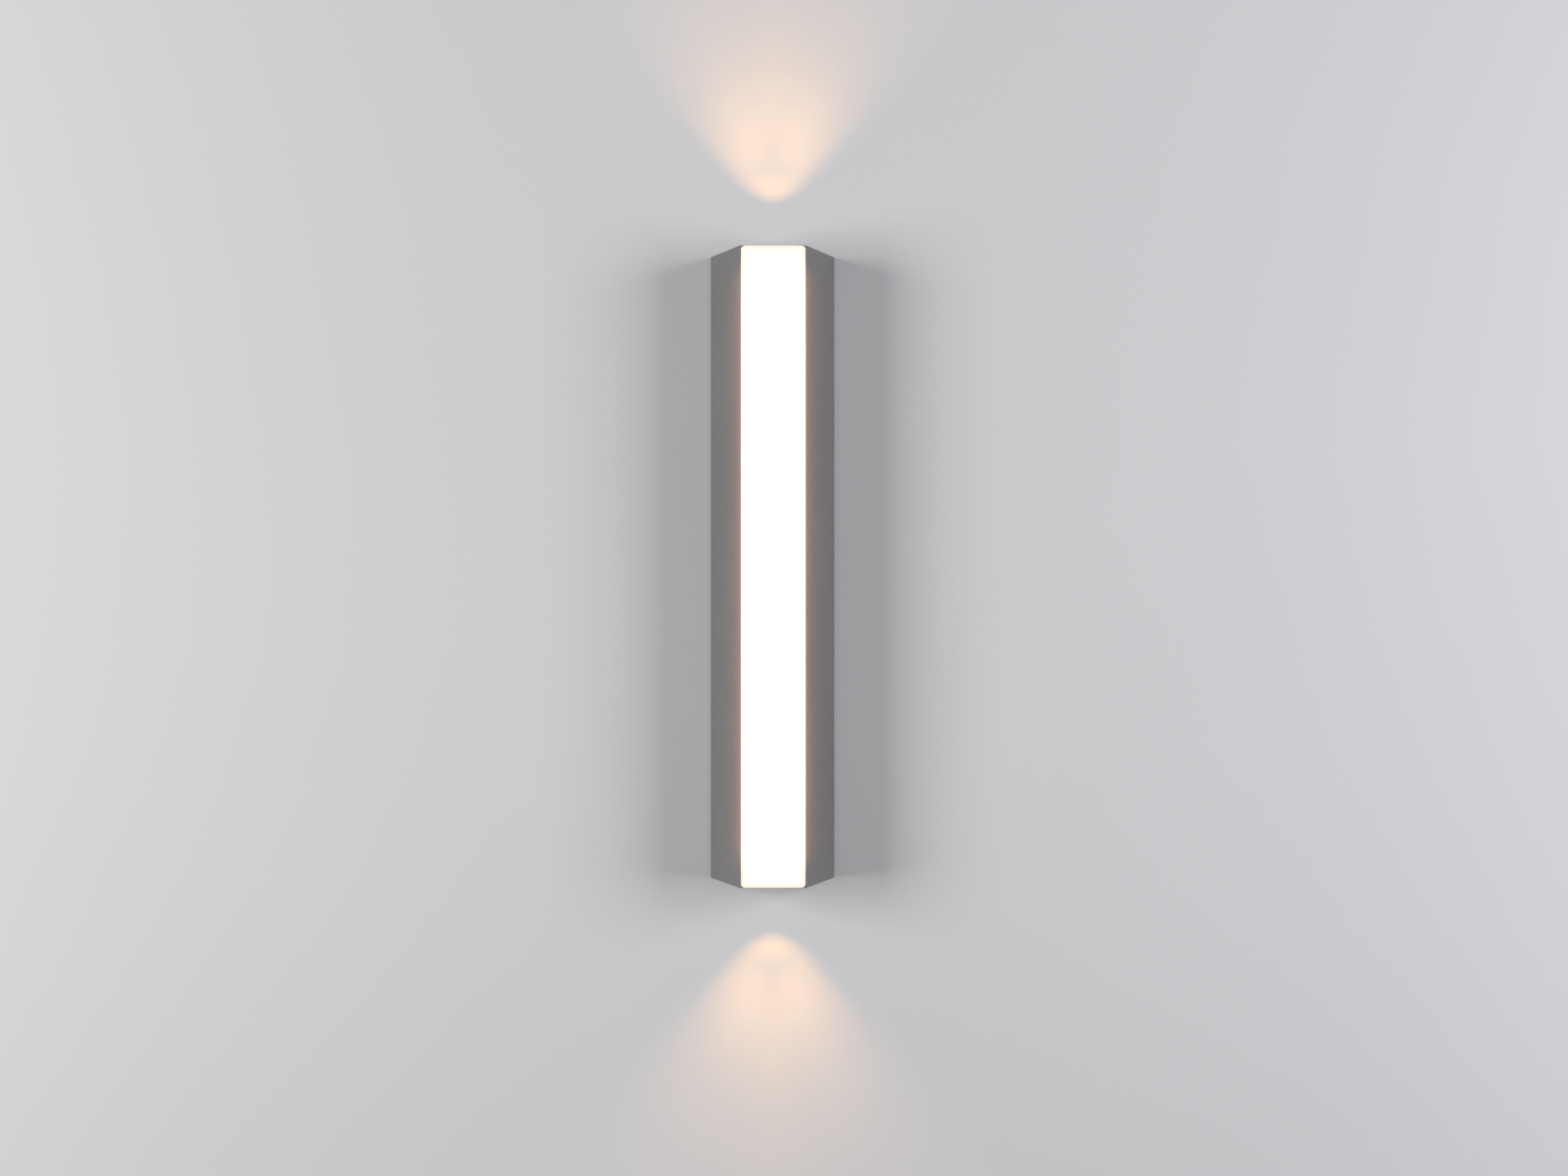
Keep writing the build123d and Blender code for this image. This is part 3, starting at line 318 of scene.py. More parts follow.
class Surface(Graph):
    """Tree of one material, with its shader and its Object coordinates."""

    def __init__(self, name: str, effects: EffectShop) -> None:
        """Starts a material on a bare Principled shader.

        Args:
            name: Name of the material.
            effects: Where shared effects come from.
        """
        self.material = bpy.data.materials.new(name)
        self.material.use_nodes = True
        super().__init__(self.material.node_tree)
        self.effects = effects
        self.shader = self.add("BsdfPrincipled")
        self.output = self.add("OutputMaterial", {"Surface": self.shader.outputs[0]})
        self.where = self.add("TexCoord").outputs["Object"]

    def effect(self, effect: Effect, **feeds: Any) -> bpy.types.NodeOutputs:
        """Places a shared effect on the Object coordinates.

        Args:
            effect: Which effect.
            feeds: A socket or value for each of its other inputs.

        Returns:
            The effect's outputs.
        """
        node = self.add("Group", node_tree=self.effects.groups[effect])
        for name, value in {"Vector": self.where, **feeds}.items():
            self.feed(node.inputs[name], value)
        return node.outputs

    def wear(self, **feeds: Any) -> None:
        """Sets inputs of the shader, with spaces for underscores in their names."""
        for name, value in feeds.items():
            self.feed(self.shader.inputs[name.replace("_", " ")], value)

    def emboss(self, height: Socket, relief: Relief) -> None:
        """Raises the surface by a height pattern."""
        feeds = {"Height": height, "Distance": relief.depth_mm * MM, "Strength": relief.strength}
        self.wear(Normal=self.add("Bump", feeds).outputs["Normal"])


@dataclass(frozen=True)
class Finish:
    """What every finish has.

    Attributes:
        slot: The record's material slot.
        colour: Its colour.
        rough: Lowest and highest roughness.
        tone: How far its lightness drifts.
        patch: Drifts to the metre.
        smudges: Smudges to each drift.
        gloss: Strength of its mirror layer.
        metallic: How much it shines as bare metal does, from 0 to 1.
        clear_coat: Gloss layer over it.
        relief: Height of its grain, lines or cells.
    """

    slot: str
    colour: Colour
    rough: Range
    tone: float = 0.04
    patch: float = 30.0
    smudges: float = 2.0
    gloss: float = 0.5
    metallic: float = 0.0
    clear_coat: float = 0.0
    relief: Relief = Relief(0.02, 0.3)

    def make(self, effects: EffectShop) -> bpy.types.Material:
        """Makes the material.

        Args:
            effects: Where shared effects come from.

        Returns:
            The finished material.
        """
        surface = Surface(self.slot + "_finish", effects)
        low, high = self.rough
        gloss = surface.effect(Effect.SMUDGE, Scale=self.patch * self.smudges, Low=low, High=high)
        surface.wear(Base_Color=self.detail(surface), Roughness=gloss["Value"], Metallic=self.metallic)
        surface.wear(Specular_IOR_Level=self.gloss, Coat_Weight=self.clear_coat)
        return surface.material

    def toned(self, surface: Surface, colour: Any) -> Socket:
        """Gives a colour the finish's slow drift."""
        feeds = {"Colour": colour, "Scale": self.patch, "Amount": self.tone}
        return surface.effect(Effect.TONE, **feeds)["Colour"]

    def flecked(self, surface: Surface, mask: Socket, share: float, fleck: Colour) -> Socket:
        """Gives the drifting colour with a share of another where a mask shows."""
        shown = surface.calc("MULTIPLY", mask, share)
        return surface.blend(shown, self.toned(surface, self.colour), fleck)

    def raised(self, surface: Surface, effect: Effect, scale: float, **feeds: Any) -> bpy.types.NodeOutputs:
        """Places a shared effect and raises the surface by its height.

        Args:
            surface: The material's tree.
            effect: Which effect.
            scale: How many of its marks there are to the metre.
            feeds: A socket or value for each of its other inputs.

        Returns:
            The effect's outputs.
        """
        made = surface.effect(effect, Scale=scale, **feeds)
        surface.emboss(made["Height"], self.relief)
        return made

    def detail(self, surface: Surface) -> Socket:
        """Adds what sets this finish apart, and gives its base colour."""
        raise NotImplementedError


@dataclass(frozen=True)
class PowderCoat(Finish):
    """Sprayed and baked powder: a fine peel and faint specks.

    Attributes:
        peel: Bumps of the peel to the metre.
        speck: Colour of the specks.
        speck_share: How much of that colour shows.
    """

    peel: float = 650.0
    speck: Colour = (0.23, 0.23, 0.23)
    speck_share: float = 0.25
    gloss: float = 0.3
    relief: Relief = Relief(0.12, 0.16)

    def detail(self, surface: Surface) -> Socket:
        """Adds the peel and the specks."""
        grain = self.raised(surface, Effect.GRAIN, self.peel)
        return self.flecked(surface, grain["Specks"], self.speck_share, self.speck)


@dataclass(frozen=True)
class OpalAcrylic(Finish):
    """Opal strip lit from behind, its light warmer and dimmer towards its edges, with a painted warm shade on
    its colour there too.

    Attributes:
        node: The strip, which is centred on the origin across and along.
        fade_mm: Width of the warm edge.
        edge: Painted warm shade of the edge, darker than the strip's colour.
        glow: Light of the middle.
        edge_glow: Light of the edge.
        strength: How bright the light is beside a lit white surface.
        grain: Grains of the skin to the metre.
    """

    node: str = "front_diffuser"
    fade_mm: float = 6.0
    edge: Colour = (0.54, 0.49, 0.42)
    glow: Colour = (0.54, 0.53, 0.51)
    edge_glow: Colour = (0.53, 0.46, 0.37)
    strength: float = 1.0
    grain: float = 900.0
    relief: Relief = Relief(0.03, 0.1)

    def detail(self, surface: Surface) -> Socket:
        """Adds the light, warmer at the edges, and a painted warm shade on the edges.

        Args:
            surface: The material's tree.

        Returns:
            The base colour.
        """
        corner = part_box(self.node)[1]
        axes = surface.add("SeparateXYZ", {0: surface.where}).outputs
        inset = [
            surface.calc("SUBTRACT", reach, surface.calc("ABSOLUTE", axes[axis]))
            for axis, reach in (("X", corner.x), ("Z", corner.z))
        ]
        middle = surface.remap(surface.calc("MINIMUM", *inset), (0.0, self.fade_mm * MM), (0.0, 1.0))
        light = self.toned(surface, surface.blend(middle, self.edge_glow, self.glow))
        surface.wear(Emission_Color=light, Emission_Strength=self.strength)
        self.raised(surface, Effect.GRAIN, self.grain)
        # the base colour gets a painted warm shade towards the edges, copying the dimmer edge light
        return self.toned(surface, surface.blend(middle, self.edge, self.colour))


@dataclass(frozen=True)
class ClearGlass(Finish):
    """Clear glass or clear moulded plastic.

    Attributes:
        pebble: Pebbles of a moulded face to the metre, or none.
        ior: Its index of refraction.
    """

    pebble: float = 0.0
    ior: float = 1.5
    relief: Relief = Relief(0.15, 0.5)

    def detail(self, surface: Surface) -> Socket:
        """Lets the light through and adds the pebbles.

        Args:
            surface: The material's tree.

        Returns:
            The base colour.
        """
        surface.wear(Transmission_Weight=1.0, IOR=self.ior)
        if self.pebble:
            self.raised(surface, Effect.CELLS, self.pebble)
        return self.toned(surface, self.colour)


@dataclass(frozen=True)
class DrawnMetal(Finish):
    """Bare metal with the fine lines of rolling, drawing or turning.

    Attributes:
        lines: Lines to the metre.
        stretch: Share of that along each axis.
        shade: Colour between the lines.
        shade_share: How much of that colour shows.
    """

    lines: float = 1500.0
    stretch: Point = (1.0, 1.0, 0.04)
    shade: Colour = (0.45, 0.45, 0.44)
    shade_share: float = 0.45
    metallic: float = 1.0
    relief: Relief = Relief(0.02, 0.25)

    def detail(self, surface: Surface) -> Socket:
        """Adds the lines."""
        drawn = self.raised(surface, Effect.DRAWN, self.lines, Stretch=self.stretch)
        return self.flecked(surface, drawn["Shade"], self.shade_share, self.shade)


@dataclass(frozen=True)
class ZincPlate(DrawnMetal):
    """Zinc-plated sheet with the faint flakes of its crystals.

    Attributes:
        flake: Crystals to the metre.
        flake_span: Part of the crystals' range of lightness that shows.
        flake_share: How much of the bright colour the lightest show.
        bright: Colour of the brightest crystals.
    """

    shade: Colour = (0.38, 0.39, 0.40)
    metallic: float = 0.55
    flake: float = 160.0
    flake_span: Range = (0.2, 1.0)
    flake_share: float = 0.4
    bright: Colour = (0.60, 0.61, 0.63)

    def detail(self, surface: Surface) -> Socket:
        """Adds the lines and lightens some of the crystals.

        Args:
            surface: The material's tree.

        Returns:
            The base colour.
        """
        colour = super().detail(surface)
        crystals = surface.add("TexVoronoi", {"Vector": surface.where, "Scale": self.flake})
        light = surface.add("SeparateXYZ", {0: crystals.outputs["Color"]}).outputs["X"]
        share = surface.remap(light, self.flake_span, (0.0, self.flake_share))
        return surface.blend(share, colour, self.bright)


@dataclass(frozen=True)
class Moulded(Finish):
    """Moulded plastic or rubber with a fine sparked grain.

    Attributes:
        grain: Grains to the metre.
    """

    grain: float = 1400.0
    relief: Relief = Relief(0.05, 0.4)

    def detail(self, surface: Surface) -> Socket:
        """Adds the grain."""
        self.raised(surface, Effect.GRAIN, self.grain)
        return self.toned(surface, self.colour)


@dataclass(frozen=True)
class Foam(Finish):
    """Closed-cell foam with open pores where it was cut, with painted shade in the pores.

    Attributes:
        cells: Cells to the metre.
        pore: Painted shade inside the pores, darker than the foam.
        pore_share: How much of the painted pore shade shows.
    """

    cells: float = 1600.0
    pore: Colour = (0.008, 0.008, 0.009)
    pore_share: float = 0.8
    gloss: float = 0.15
    relief: Relief = Relief(0.2, 0.7)

    def detail(self, surface: Surface) -> Socket:
        """Adds the cells, and painted shade in their pores."""
        cells = self.raised(surface, Effect.CELLS, self.cells)
        # the pores get a painted shade, darker than the foam, where shade falls in them
        return self.flecked(surface, cells["Pores"], self.pore_share, self.pore)


@dataclass(frozen=True)
class Board(Finish):
    """Circuit board with tracks under its lacquer.

    Attributes:
        track: Colour over the tracks.
        pitch: Tracks to the metre.
        track_width: Width of a track, in pitches.
        stagger: How far each row of tracks is set off from the last.
    """

    track: Colour = (0.5, 0.5, 0.5)
    pitch: float = 110.0
    track_width: float = 0.06
    stagger: float = 0.3
    relief: Relief = Relief(0.035, 0.5)

    def detail(self, surface: Surface) -> Socket:
        """Adds the tracks.

        Args:
            surface: The material's tree.

        Returns:
            The base colour.
        """
        feeds = {"Vector": surface.where, "Scale": self.pitch, "Mortar Size": self.track_width}
        tracks = surface.add("TexBrick", feeds, offset=self.stagger).outputs["Fac"]
        surface.emboss(tracks, self.relief)
        return surface.blend(tracks, self.toned(surface, self.colour), self.track)


@dataclass(frozen=True)
class Insulation(Finish):
    """Drawn wire insulation, with a second colour where it is striped.

    Attributes:
        lines: Lines of its skin to the metre.
        stretch: Share of that along each axis.
        stripe: Colour of the stripe.
        striped: Share of the stripe that shows.
        stripe_scale: Scale of the wave that the stripe follows.
        stripe_edge: Part of the wave over which the stripe begins.
    """

    lines: float = 1200.0
    stretch: Point = (1.0, 1.0, 0.2)
    relief: Relief = Relief(0.02, 0.2)
    stripe: Colour = (0.0, 0.0, 0.0)
    striped: float = 0.0
    stripe_scale: float = 140.0
    stripe_edge: Range = (0.45, 0.55)

    def detail(self, surface: Surface) -> Socket:
        """Adds the drawn skin and the stripe.

        Args:
            surface: The material's tree.

        Returns:
            The base colour.
        """
        self.raised(surface, Effect.DRAWN, self.lines, Stretch=self.stretch)
        skin = self.toned(surface, self.colour)
        if not self.striped:
            return skin
        feeds = {"Vector": surface.where, "Scale": self.stripe_scale}
        wave = surface.add("TexWave", feeds, bands_direction="X").outputs["Fac"]
        return surface.blend(surface.remap(wave, self.stripe_edge, (0.0, self.striped)), skin, self.stripe)


@dataclass(frozen=True)
class Phosphor(Finish):
    """Lit phosphor of a light chip.

    Attributes:
        glow: Its light.
        strength: How bright it is beside a lit white surface.
        grain: Grains to the metre.
    """

    glow: Colour = (1.0, 0.80, 0.52)
    strength: float = 5.0
    grain: float = 6000.0

    def detail(self, surface: Surface) -> Socket:
        """Adds the light and the grain of the phosphor.

        Args:
            surface: The material's tree.

        Returns:
            The base colour.
        """
        surface.wear(Emission_Color=self.toned(surface, self.glow), Emission_Strength=self.strength)
        self.raised(surface, Effect.CELLS, self.grain)
        return self.toned(surface, self.colour)


FINISHES: tuple[Finish, ...] = (
    PowderCoat("grey_powder_coat", (0.160, 0.156, 0.157), (0.46, 0.54), 0.025, 14.0),
    OpalAcrylic("opal_acrylic", (0.62, 0.61, 0.59), (0.34, 0.42), 0.01, 20.0),
    ClearGlass("clear_glass", (0.94, 0.97, 0.96), (0.01, 0.04), 0.01),
    ClearGlass("clear_lens", (0.97, 0.97, 0.95), (0.03, 0.08), 0.01, pebble=900.0, ior=1.49),
    ZincPlate("zinc_steel", (0.47, 0.48, 0.49), (0.56, 0.68), 0.06),
    DrawnMetal("stainless", (0.58, 0.57, 0.55), (0.22, 0.34), 0.04, 90.0),
    DrawnMetal("bare_aluminium", (0.80, 0.81, 0.82), (0.30, 0.42), 0.04, shade=(0.62, 0.63, 0.64)),
    DrawnMetal("brass", (0.72, 0.55, 0.24), (0.24, 0.36), 0.06, 90.0, shade=(0.52, 0.38, 0.15)),
    Board("white_board", (0.86, 0.86, 0.84), (0.36, 0.46), 0.02, track=(0.78, 0.78, 0.75)),
    Board("green_board", (0.03, 0.16, 0.07), (0.28, 0.38), 0.05, track=(0.06, 0.26, 0.11), pitch=220.0),
    Phosphor("light_chip", (0.95, 0.80, 0.35), (0.45, 0.55), 0.04, 400.0),
    Moulded("black_plastic", (0.028, 0.028, 0.030), (0.42, 0.54), 0.08),
    Moulded("white_plastic", (0.80, 0.80, 0.77), (0.38, 0.48), 0.02),
    Moulded("ferrite", (0.060, 0.055, 0.050), (0.55, 0.70), 0.12, 120.0, grain=2200.0),
    Moulded("can_sleeve", (0.020, 0.030, 0.090), (0.20, 0.32), 0.05, clear_coat=0.4),
    Moulded("grey_silicone", (0.32, 0.32, 0.31), (0.55, 0.68), 0.05, relief=Relief(0.03, 0.4)),
    Moulded("black_rubber", (0.024, 0.024, 0.024), (0.58, 0.72), 0.12, grain=1100.0),
    Foam("black_foam", (0.035, 0.035, 0.037), (0.84, 0.94), 0.10),
    Insulation("brown_wire", (0.16, 0.06, 0.025), (0.36, 0.46)),
    Insulation("blue_wire", (0.02, 0.11, 0.42), (0.36, 0.46)),
    Insulation("earth_wire", (0.10, 0.32, 0.05), (0.36, 0.46), stripe=(0.72, 0.62, 0.04), striped=1.0),
    Insulation("red_wire", (0.45, 0.02, 0.02), (0.36, 0.46)),
    Insulation("black_wire", (0.022, 0.022, 0.022), (0.36, 0.46)),
)


def add_object(name: str, data: bpy.types.ID) -> bpy.types.Object:
    """Puts a mesh, lamp or camera in the scene.

    Args:
        name: Name of its object.
        data: The mesh, lamp or camera.

    Returns:
        The object, at the origin.
    """
    thing = bpy.data.objects.new(name, data)
    bpy.context.scene.collection.objects.link(thing)
    return thing


def add_shape(name: str, shape: Shape, *materials: bpy.types.Material) -> bpy.types.Object:
    """Puts a shape in the scene as a mesh.

    Args:
        name: Name of its mesh and object.
        shape: The shape, which is used up.
        materials: Its materials in order.

    Returns:
        The object, at the origin.
    """
    mesh = bpy.data.meshes.new(name)
    shape.to_mesh(mesh)
    shape.free()
    for material in materials:
        mesh.materials.append(material)
    return add_object(name, mesh)


class PaintShop:
    """Makes every finish and puts it on nodes and new pieces."""

    def __init__(self, frame: dict[str, Any]) -> None:
        """Makes the finishes.

        Args:
            frame: The loaded model.
        """
        self.effects = EffectShop()
        self.nodes: dict[str, bpy.types.Object] = frame["nodes"]
        self.slots = {row["node"]: row["material_slot"] for row in frame["record"]["subparts"]}
        self.finishes = {finish.slot: finish.make(self.effects) for finish in FINISHES}

    def coat(self, node: str) -> None:
        """Puts a node's own finish on it.

        Args:
            node: Name of the node.
        """
        for slot in self.nodes[node].material_slots:
            slot.material = self.finishes[self.slots[node]]
        LOG.info("%s: %s", node, self.slots[node])

    def finish_piece(self, name: str, shape: Shape, node: str) -> bpy.types.Object:
        """Makes a shaped mesh a finished piece of the light that stands for a node.

        Args:
            name: Name of the piece.
            shape: The shape, which is used up.
            node: The node it stands for.

        Returns:
            The piece.
        """
        slot = self.slots[node]
        piece = add_shape(name, shape, self.finishes[slot])
        piece.data.shade_smooth()
        piece.data.set_sharp_from_angle(angle=SHARP_ANGLE)
        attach(piece, LIGHT_BODY)
        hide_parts(node)
        LOG.info("%s: stands for %s, %d faces", name, node, len(piece.data.polygons))
        return piece


def spun(profile: Profile, facets: int, closed: bool) -> Shape:
    """Turns a profile about +Z.

    Args:
        profile: Corners in millimetres.
        facets: Facets round the axis.
        closed: Whether the last corner joins the first.

    Returns:
        The turned shape in metres, with its faces outwards.
    """
    shape = bmesh.new()
    ring = [shape.verts.new((radius * MM, 0.0, height * MM)) for radius, height in profile]
    ends = ring[1:] + ring[:1] if closed else ring[1:]
    rim = [shape.edges.new(pair) for pair in zip(ring, ends)]
    up = (0.0, 0.0, 1.0)
    bmesh.ops.spin(shape, geom=ring + rim, axis=up, angle=math.tau, steps=facets, use_merge=True)
    bmesh.ops.remove_doubles(shape, verts=shape.verts, dist=MERGE_DISTANCE)
    bmesh.ops.recalc_face_normals(shape, faces=shape.faces)
    return shape


def soften(shape: Shape, radius_mm: float) -> None:
    """Rounds every sharp edge of a shape.

    Args:
        shape: The shape.
        radius_mm: Radius of the rounding.
    """
    sharp = [edge for edge in shape.edges if edge.is_manifold and edge.calc_face_angle() > SHARP_ANGLE]
    bmesh.ops.bevel(
        shape,
        geom=sharp,
        offset=radius_mm * MM,
        offset_type="OFFSET",
        segments=ROUNDING_SEGMENTS,
        profile=0.5,
        affect="EDGES",
        clamp_overlap=True,
        material=-1,
    )


def move(shape: Shape, place: Sequence[float], turn: Matrix) -> None:
    """Turns a shape about the origin and then moves it to its place."""
    bmesh.ops.transform(shape, matrix=Matrix.Translation(place) @ turn, verts=shape.verts)


def middle_of(node: str) -> Vector:
    """Gives the middle of a node's box."""
    low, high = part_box(node)
    return (low + high) / 2


def flare(start: Corner, end: Corner, power: float, steps: int) -> list[Corner]:
    """Works out a curved stretch of a turned profile.

    Args:
        start: Its first corner.
        end: Its last corner.
        power: Its bend: 1 is straight, and 0.5 is a parabola with its tip at the end.
        steps: Spans that it is cut into.

    Returns:
        Its points in order, both corners among them.
    """
    left = [1 - step / steps for step in range(steps + 1)]
    return [
        (end[0] + (start[0] - end[0]) * share**power, end[1] + (start[1] - end[1]) * share) for share in left
    ]


def named(start: str, *pieces: str) -> tuple[str, ...]:
    """Gives the names of nodes that start alike and go on as each piece does."""
    return tuple(f"{start}_{piece}" for piece in pieces)


@dataclass
class SubAssembly:
    """Pieces of the light that are made and finished together.

    Attributes:
        paint: Where finishes come from.
        nodes: Nodes that keep their shape and get a finish.
    """

    paint: PaintShop
    nodes: tuple[str, ...] = ()

    def build(self) -> None:
        """Makes the new pieces and lamps, where there are any."""

    def dress(self) -> None:
        """Puts each node's finish on it."""
        for node in self.nodes:
            self.paint.coat(node)


@dataclass
class WallMount(SubAssembly):
    """Bracket on the wall, and the foam frame between the body's rim and the wall.

    Attributes:
        upright_mm: Width of the foam frame's long sides.
        rail_mm: Width of its short sides.
        edge_mm: Rounding of the foam's edges.
    """

    nodes: tuple[str, ...] = ("wall_bracket", "securing_nuts", "top_securing_screw", "bottom_securing_screw")
    upright_mm: float = 6.6
    rail_mm: float = 2.6
    edge_mm: float = 0.5

    def build(self) -> None:
        """Makes the foam frame and stands it against the wall."""
        low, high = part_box("wall_seal")
        shape = self.cut_foam((high - low) / 2)
        soften(shape, self.edge_mm)
        move(shape, (0.0, high.y, middle_of("wall_seal").z), UP_TO_FRONT)
        foam = self.paint.finish_piece("foam_frame", shape, "wall_seal")

    def cut_foam(self, half: Vector) -> Shape:
        """Cuts the foam frame from one sheet, lying flat.

        Args:
            half: Half the size of the standing frame.

        Returns:
            The frame with sharp edges.
        """
        shape = bmesh.new()
        sheet = bmesh.ops.create_grid(shape, x_segments=1, y_segments=1, size=1.0)
        bmesh.ops.scale(shape, vec=(half.x, half.z, 1.0), verts=sheet["verts"])
        middle = list(shape.faces)
        rail = self.rail_mm * MM
        bmesh.ops.inset_region(shape, faces=middle, thickness=rail, use_boundary=True, use_even_offset=True)
        squeeze = (half.x - self.upright_mm * MM) / (half.x - rail)
        bmesh.ops.scale(shape, vec=(squeeze, 1.0, 1.0), verts=middle[0].verts)
        bmesh.ops.delete(shape, geom=middle, context="FACES")
        grown = bmesh.ops.extrude_face_region(shape, geom=list(shape.faces))
        raised = [item for item in grown["geom"] if isinstance(item, bmesh.types.BMVert)]
        bmesh.ops.translate(shape, vec=(0.0, 0.0, half.y * 2), verts=raised)
        bmesh.ops.recalc_face_normals(shape, faces=shape.faces)
        return shape


@dataclass
class Housing(SubAssembly):
    """Tapered body with its end caps and their screws."""

    nodes: tuple[str, ...] = (
        "housing_profile",
        "end_cap_screws",
        *named("top", "end_cap", "cap_seal"),
        *named("bottom", "end_cap", "cap_seal"),
    )


@dataclass
class CableEntry(SubAssembly):
    """Back plate and the rubber bush that the mains cable comes through.

    Attributes:
        bore_mm: Radius of the bush's bore.
        neck_mm: Radius of its neck in the back plate.
        nose_mm: Radius of the tip of its nose.
        nose_power: Bend of the nose, with 1 for a straight cone.
        nose_steps: Spans along the nose.
        facets: Facets round the bush.
        edge_mm: Rounding of its lips.
    """

    nodes: tuple[str, ...] = ("back_plate", "back_plate_seal", "back_plate_screws")
    bore_mm: float = 4.0
    neck_mm: float = 7.0
    nose_mm: float = 5.6
    nose_power: float = 1.5
    nose_steps: int = 6
    facets: int = 72
    edge_mm: float = 0.45

    def outline(self) -> Profile:
        """Works out half of the bush's section, from its solid and the back plate it sits in.

        Returns:
            Corners as (radius, distance from the wall), in millimetres.
        """
        low, high = (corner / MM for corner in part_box("cable_grommet"))
        plate_low, plate_high = (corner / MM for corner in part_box("back_plate"))
        lip, back, tip = high.x, -high.y, -low.y
        plate_back, plate_front = -plate_high.y, -plate_low.y
        collar = plate_front + plate_back - back
        return [
            (self.bore_mm, back),
            (lip, back),
            (lip, plate_back),
            (self.neck_mm, plate_back),
            (self.neck_mm, plate_front),
            (lip, plate_front),
            *flare((lip, collar), (self.nose_mm, tip), self.nose_power, self.nose_steps),
            (self.bore_mm, tip),
        ]

    def build(self) -> None:
        """Turns the bush and rounds its lips."""
        shape = spun(self.outline(), self.facets, closed=True)
        soften(shape, self.edge_mm)
        move(shape, (0.0, 0.0, middle_of("cable_grommet").z), UP_TO_FRONT)
        self.paint.finish_piece("cable_bush", shape, "cable_grommet")


@dataclass
class Lamp:
    """A lamp that is seen only by its light.

    Attributes:
        name: Its name.
        place: Where it is, in metres.
        power: Its power in watts.
        colour: Its colour.
        size: Width and height of its face, in metres.
        aim: What it shines at.
        spread: Widest angle it shines at, in degrees.
        mirrored: Whether glossy surfaces show it.
    """

    name: str
    place: Point
    power: float
    colour: Colour
    size: Pair
    aim: Point = (0.0, 0.0, 0.0)
    spread: float = 180.0
    mirrored: bool = True

    def hang(self, data: bpy.types.Light) -> bpy.types.Object:
        """Places a lamp with its up side towards +Z where it can.

        Args:
            data: The lamp's light.

        Returns:
            The lamp.
        """
        data.energy = self.power
        data.color = self.colour
        lamp = add_object(self.name, data)
        ahead = Vector(self.aim) - Vector(self.place)
        turn = ahead.to_track_quat("-Z", "Y").to_matrix().to_4x4()
        lamp.matrix_world = Matrix.Translation(self.place) @ turn
        lamp.visible_camera = False
        lamp.visible_glossy = self.mirrored
        LOG.info("%s: %.3f W", self.name, self.power)
        return lamp

    def softbox(self) -> bpy.types.Object:
        """Hangs it as a flat soft face.

        Returns:
            The lamp.
        """
        data = bpy.data.lights.new(self.name, "AREA")
        data.shape = "RECTANGLE"
        data.size, data.size_y = self.size
        data.spread = math.radians(self.spread)
        return self.hang(data)

    def beam(self, softness: float) -> bpy.types.Object:
        """Hangs it as a round beam.

        Args:
            softness: Share of the beam that fades at its edge.

        Returns:
            The lamp.
        """
        data = bpy.data.lights.new(self.name, "SPOT")
        data.spot_size = math.radians(self.spread)
        data.spot_blend = softness
        data.shadow_soft_size = self.size[0] / 2
        return self.hang(data)


@dataclass
class FrontStrip(SubAssembly):
    """Opal strip along the front, what lights it, and its glow on the slanted sides.

    Attributes:
        glow_place_mm: Distance of each glow from the middle plane and from the wall.
        glow_aim_mm: The same for the front edge of the side it lights.
        glow_size_mm: Its width and length.
        glow_spread: Widest angle it shines at, in degrees.
        glow_power: Its power in watts.
        glow_colour: Its colour.
    """

    nodes: tuple[str, ...] = (
        "diffuser_seals",
        *named("front", "diffuser", "led_board", "leds", "board_screws"),
    )
    glow_place_mm: Pair = (29.9, 84.0)
    glow_aim_mm: Pair = (23.0, 54.0)
    glow_size_mm: Pair = (2.0, 414.0)
    glow_spread: float = 46.0
    glow_power: float = 0.0315
    glow_colour: Colour = (1.0, 0.49, 0.22)

    def build(self) -> None:
        """Hangs the two glows, each facing its slanted side."""
        width, length = self.glow_size_mm
        for side in Side:
            place, aim = (
                (side.value * across * MM, -depth * MM, 0.0)
                for across, depth in (self.glow_place_mm, self.glow_aim_mm)
            )
            glow = Lamp(
                name=f"{side.name.lower()}_glow",
                place=place,
                aim=aim,
                power=self.glow_power,
                colour=self.glow_colour,
                size=(width * MM, length * MM),
                spread=self.glow_spread,
                mirrored=False,
            )
            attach(glow.softbox(), LIGHT_BODY)


@dataclass(frozen=True)
class Beam:
    """Part of the light that a spot throws.

    Attributes:
        name: Its name.
        angle: Its whole angle in degrees.
        softness: Share of it that fades at its edge.
        power: Its power in watts.
        lean: Degrees it leans away from the wall.
        swing: Degrees it swings to the right.
    """

    name: str
    angle: float
    softness: float
    power: float
    lean: float
    swing: float

    def ahead(self, end: End) -> Vector:
        """The way it shines from an end."""
        lean, swing = math.radians(self.lean), math.radians(self.swing)
        return Vector((math.sin(swing), -math.sin(lean), end.value * math.cos(max(lean, abs(swing)))))


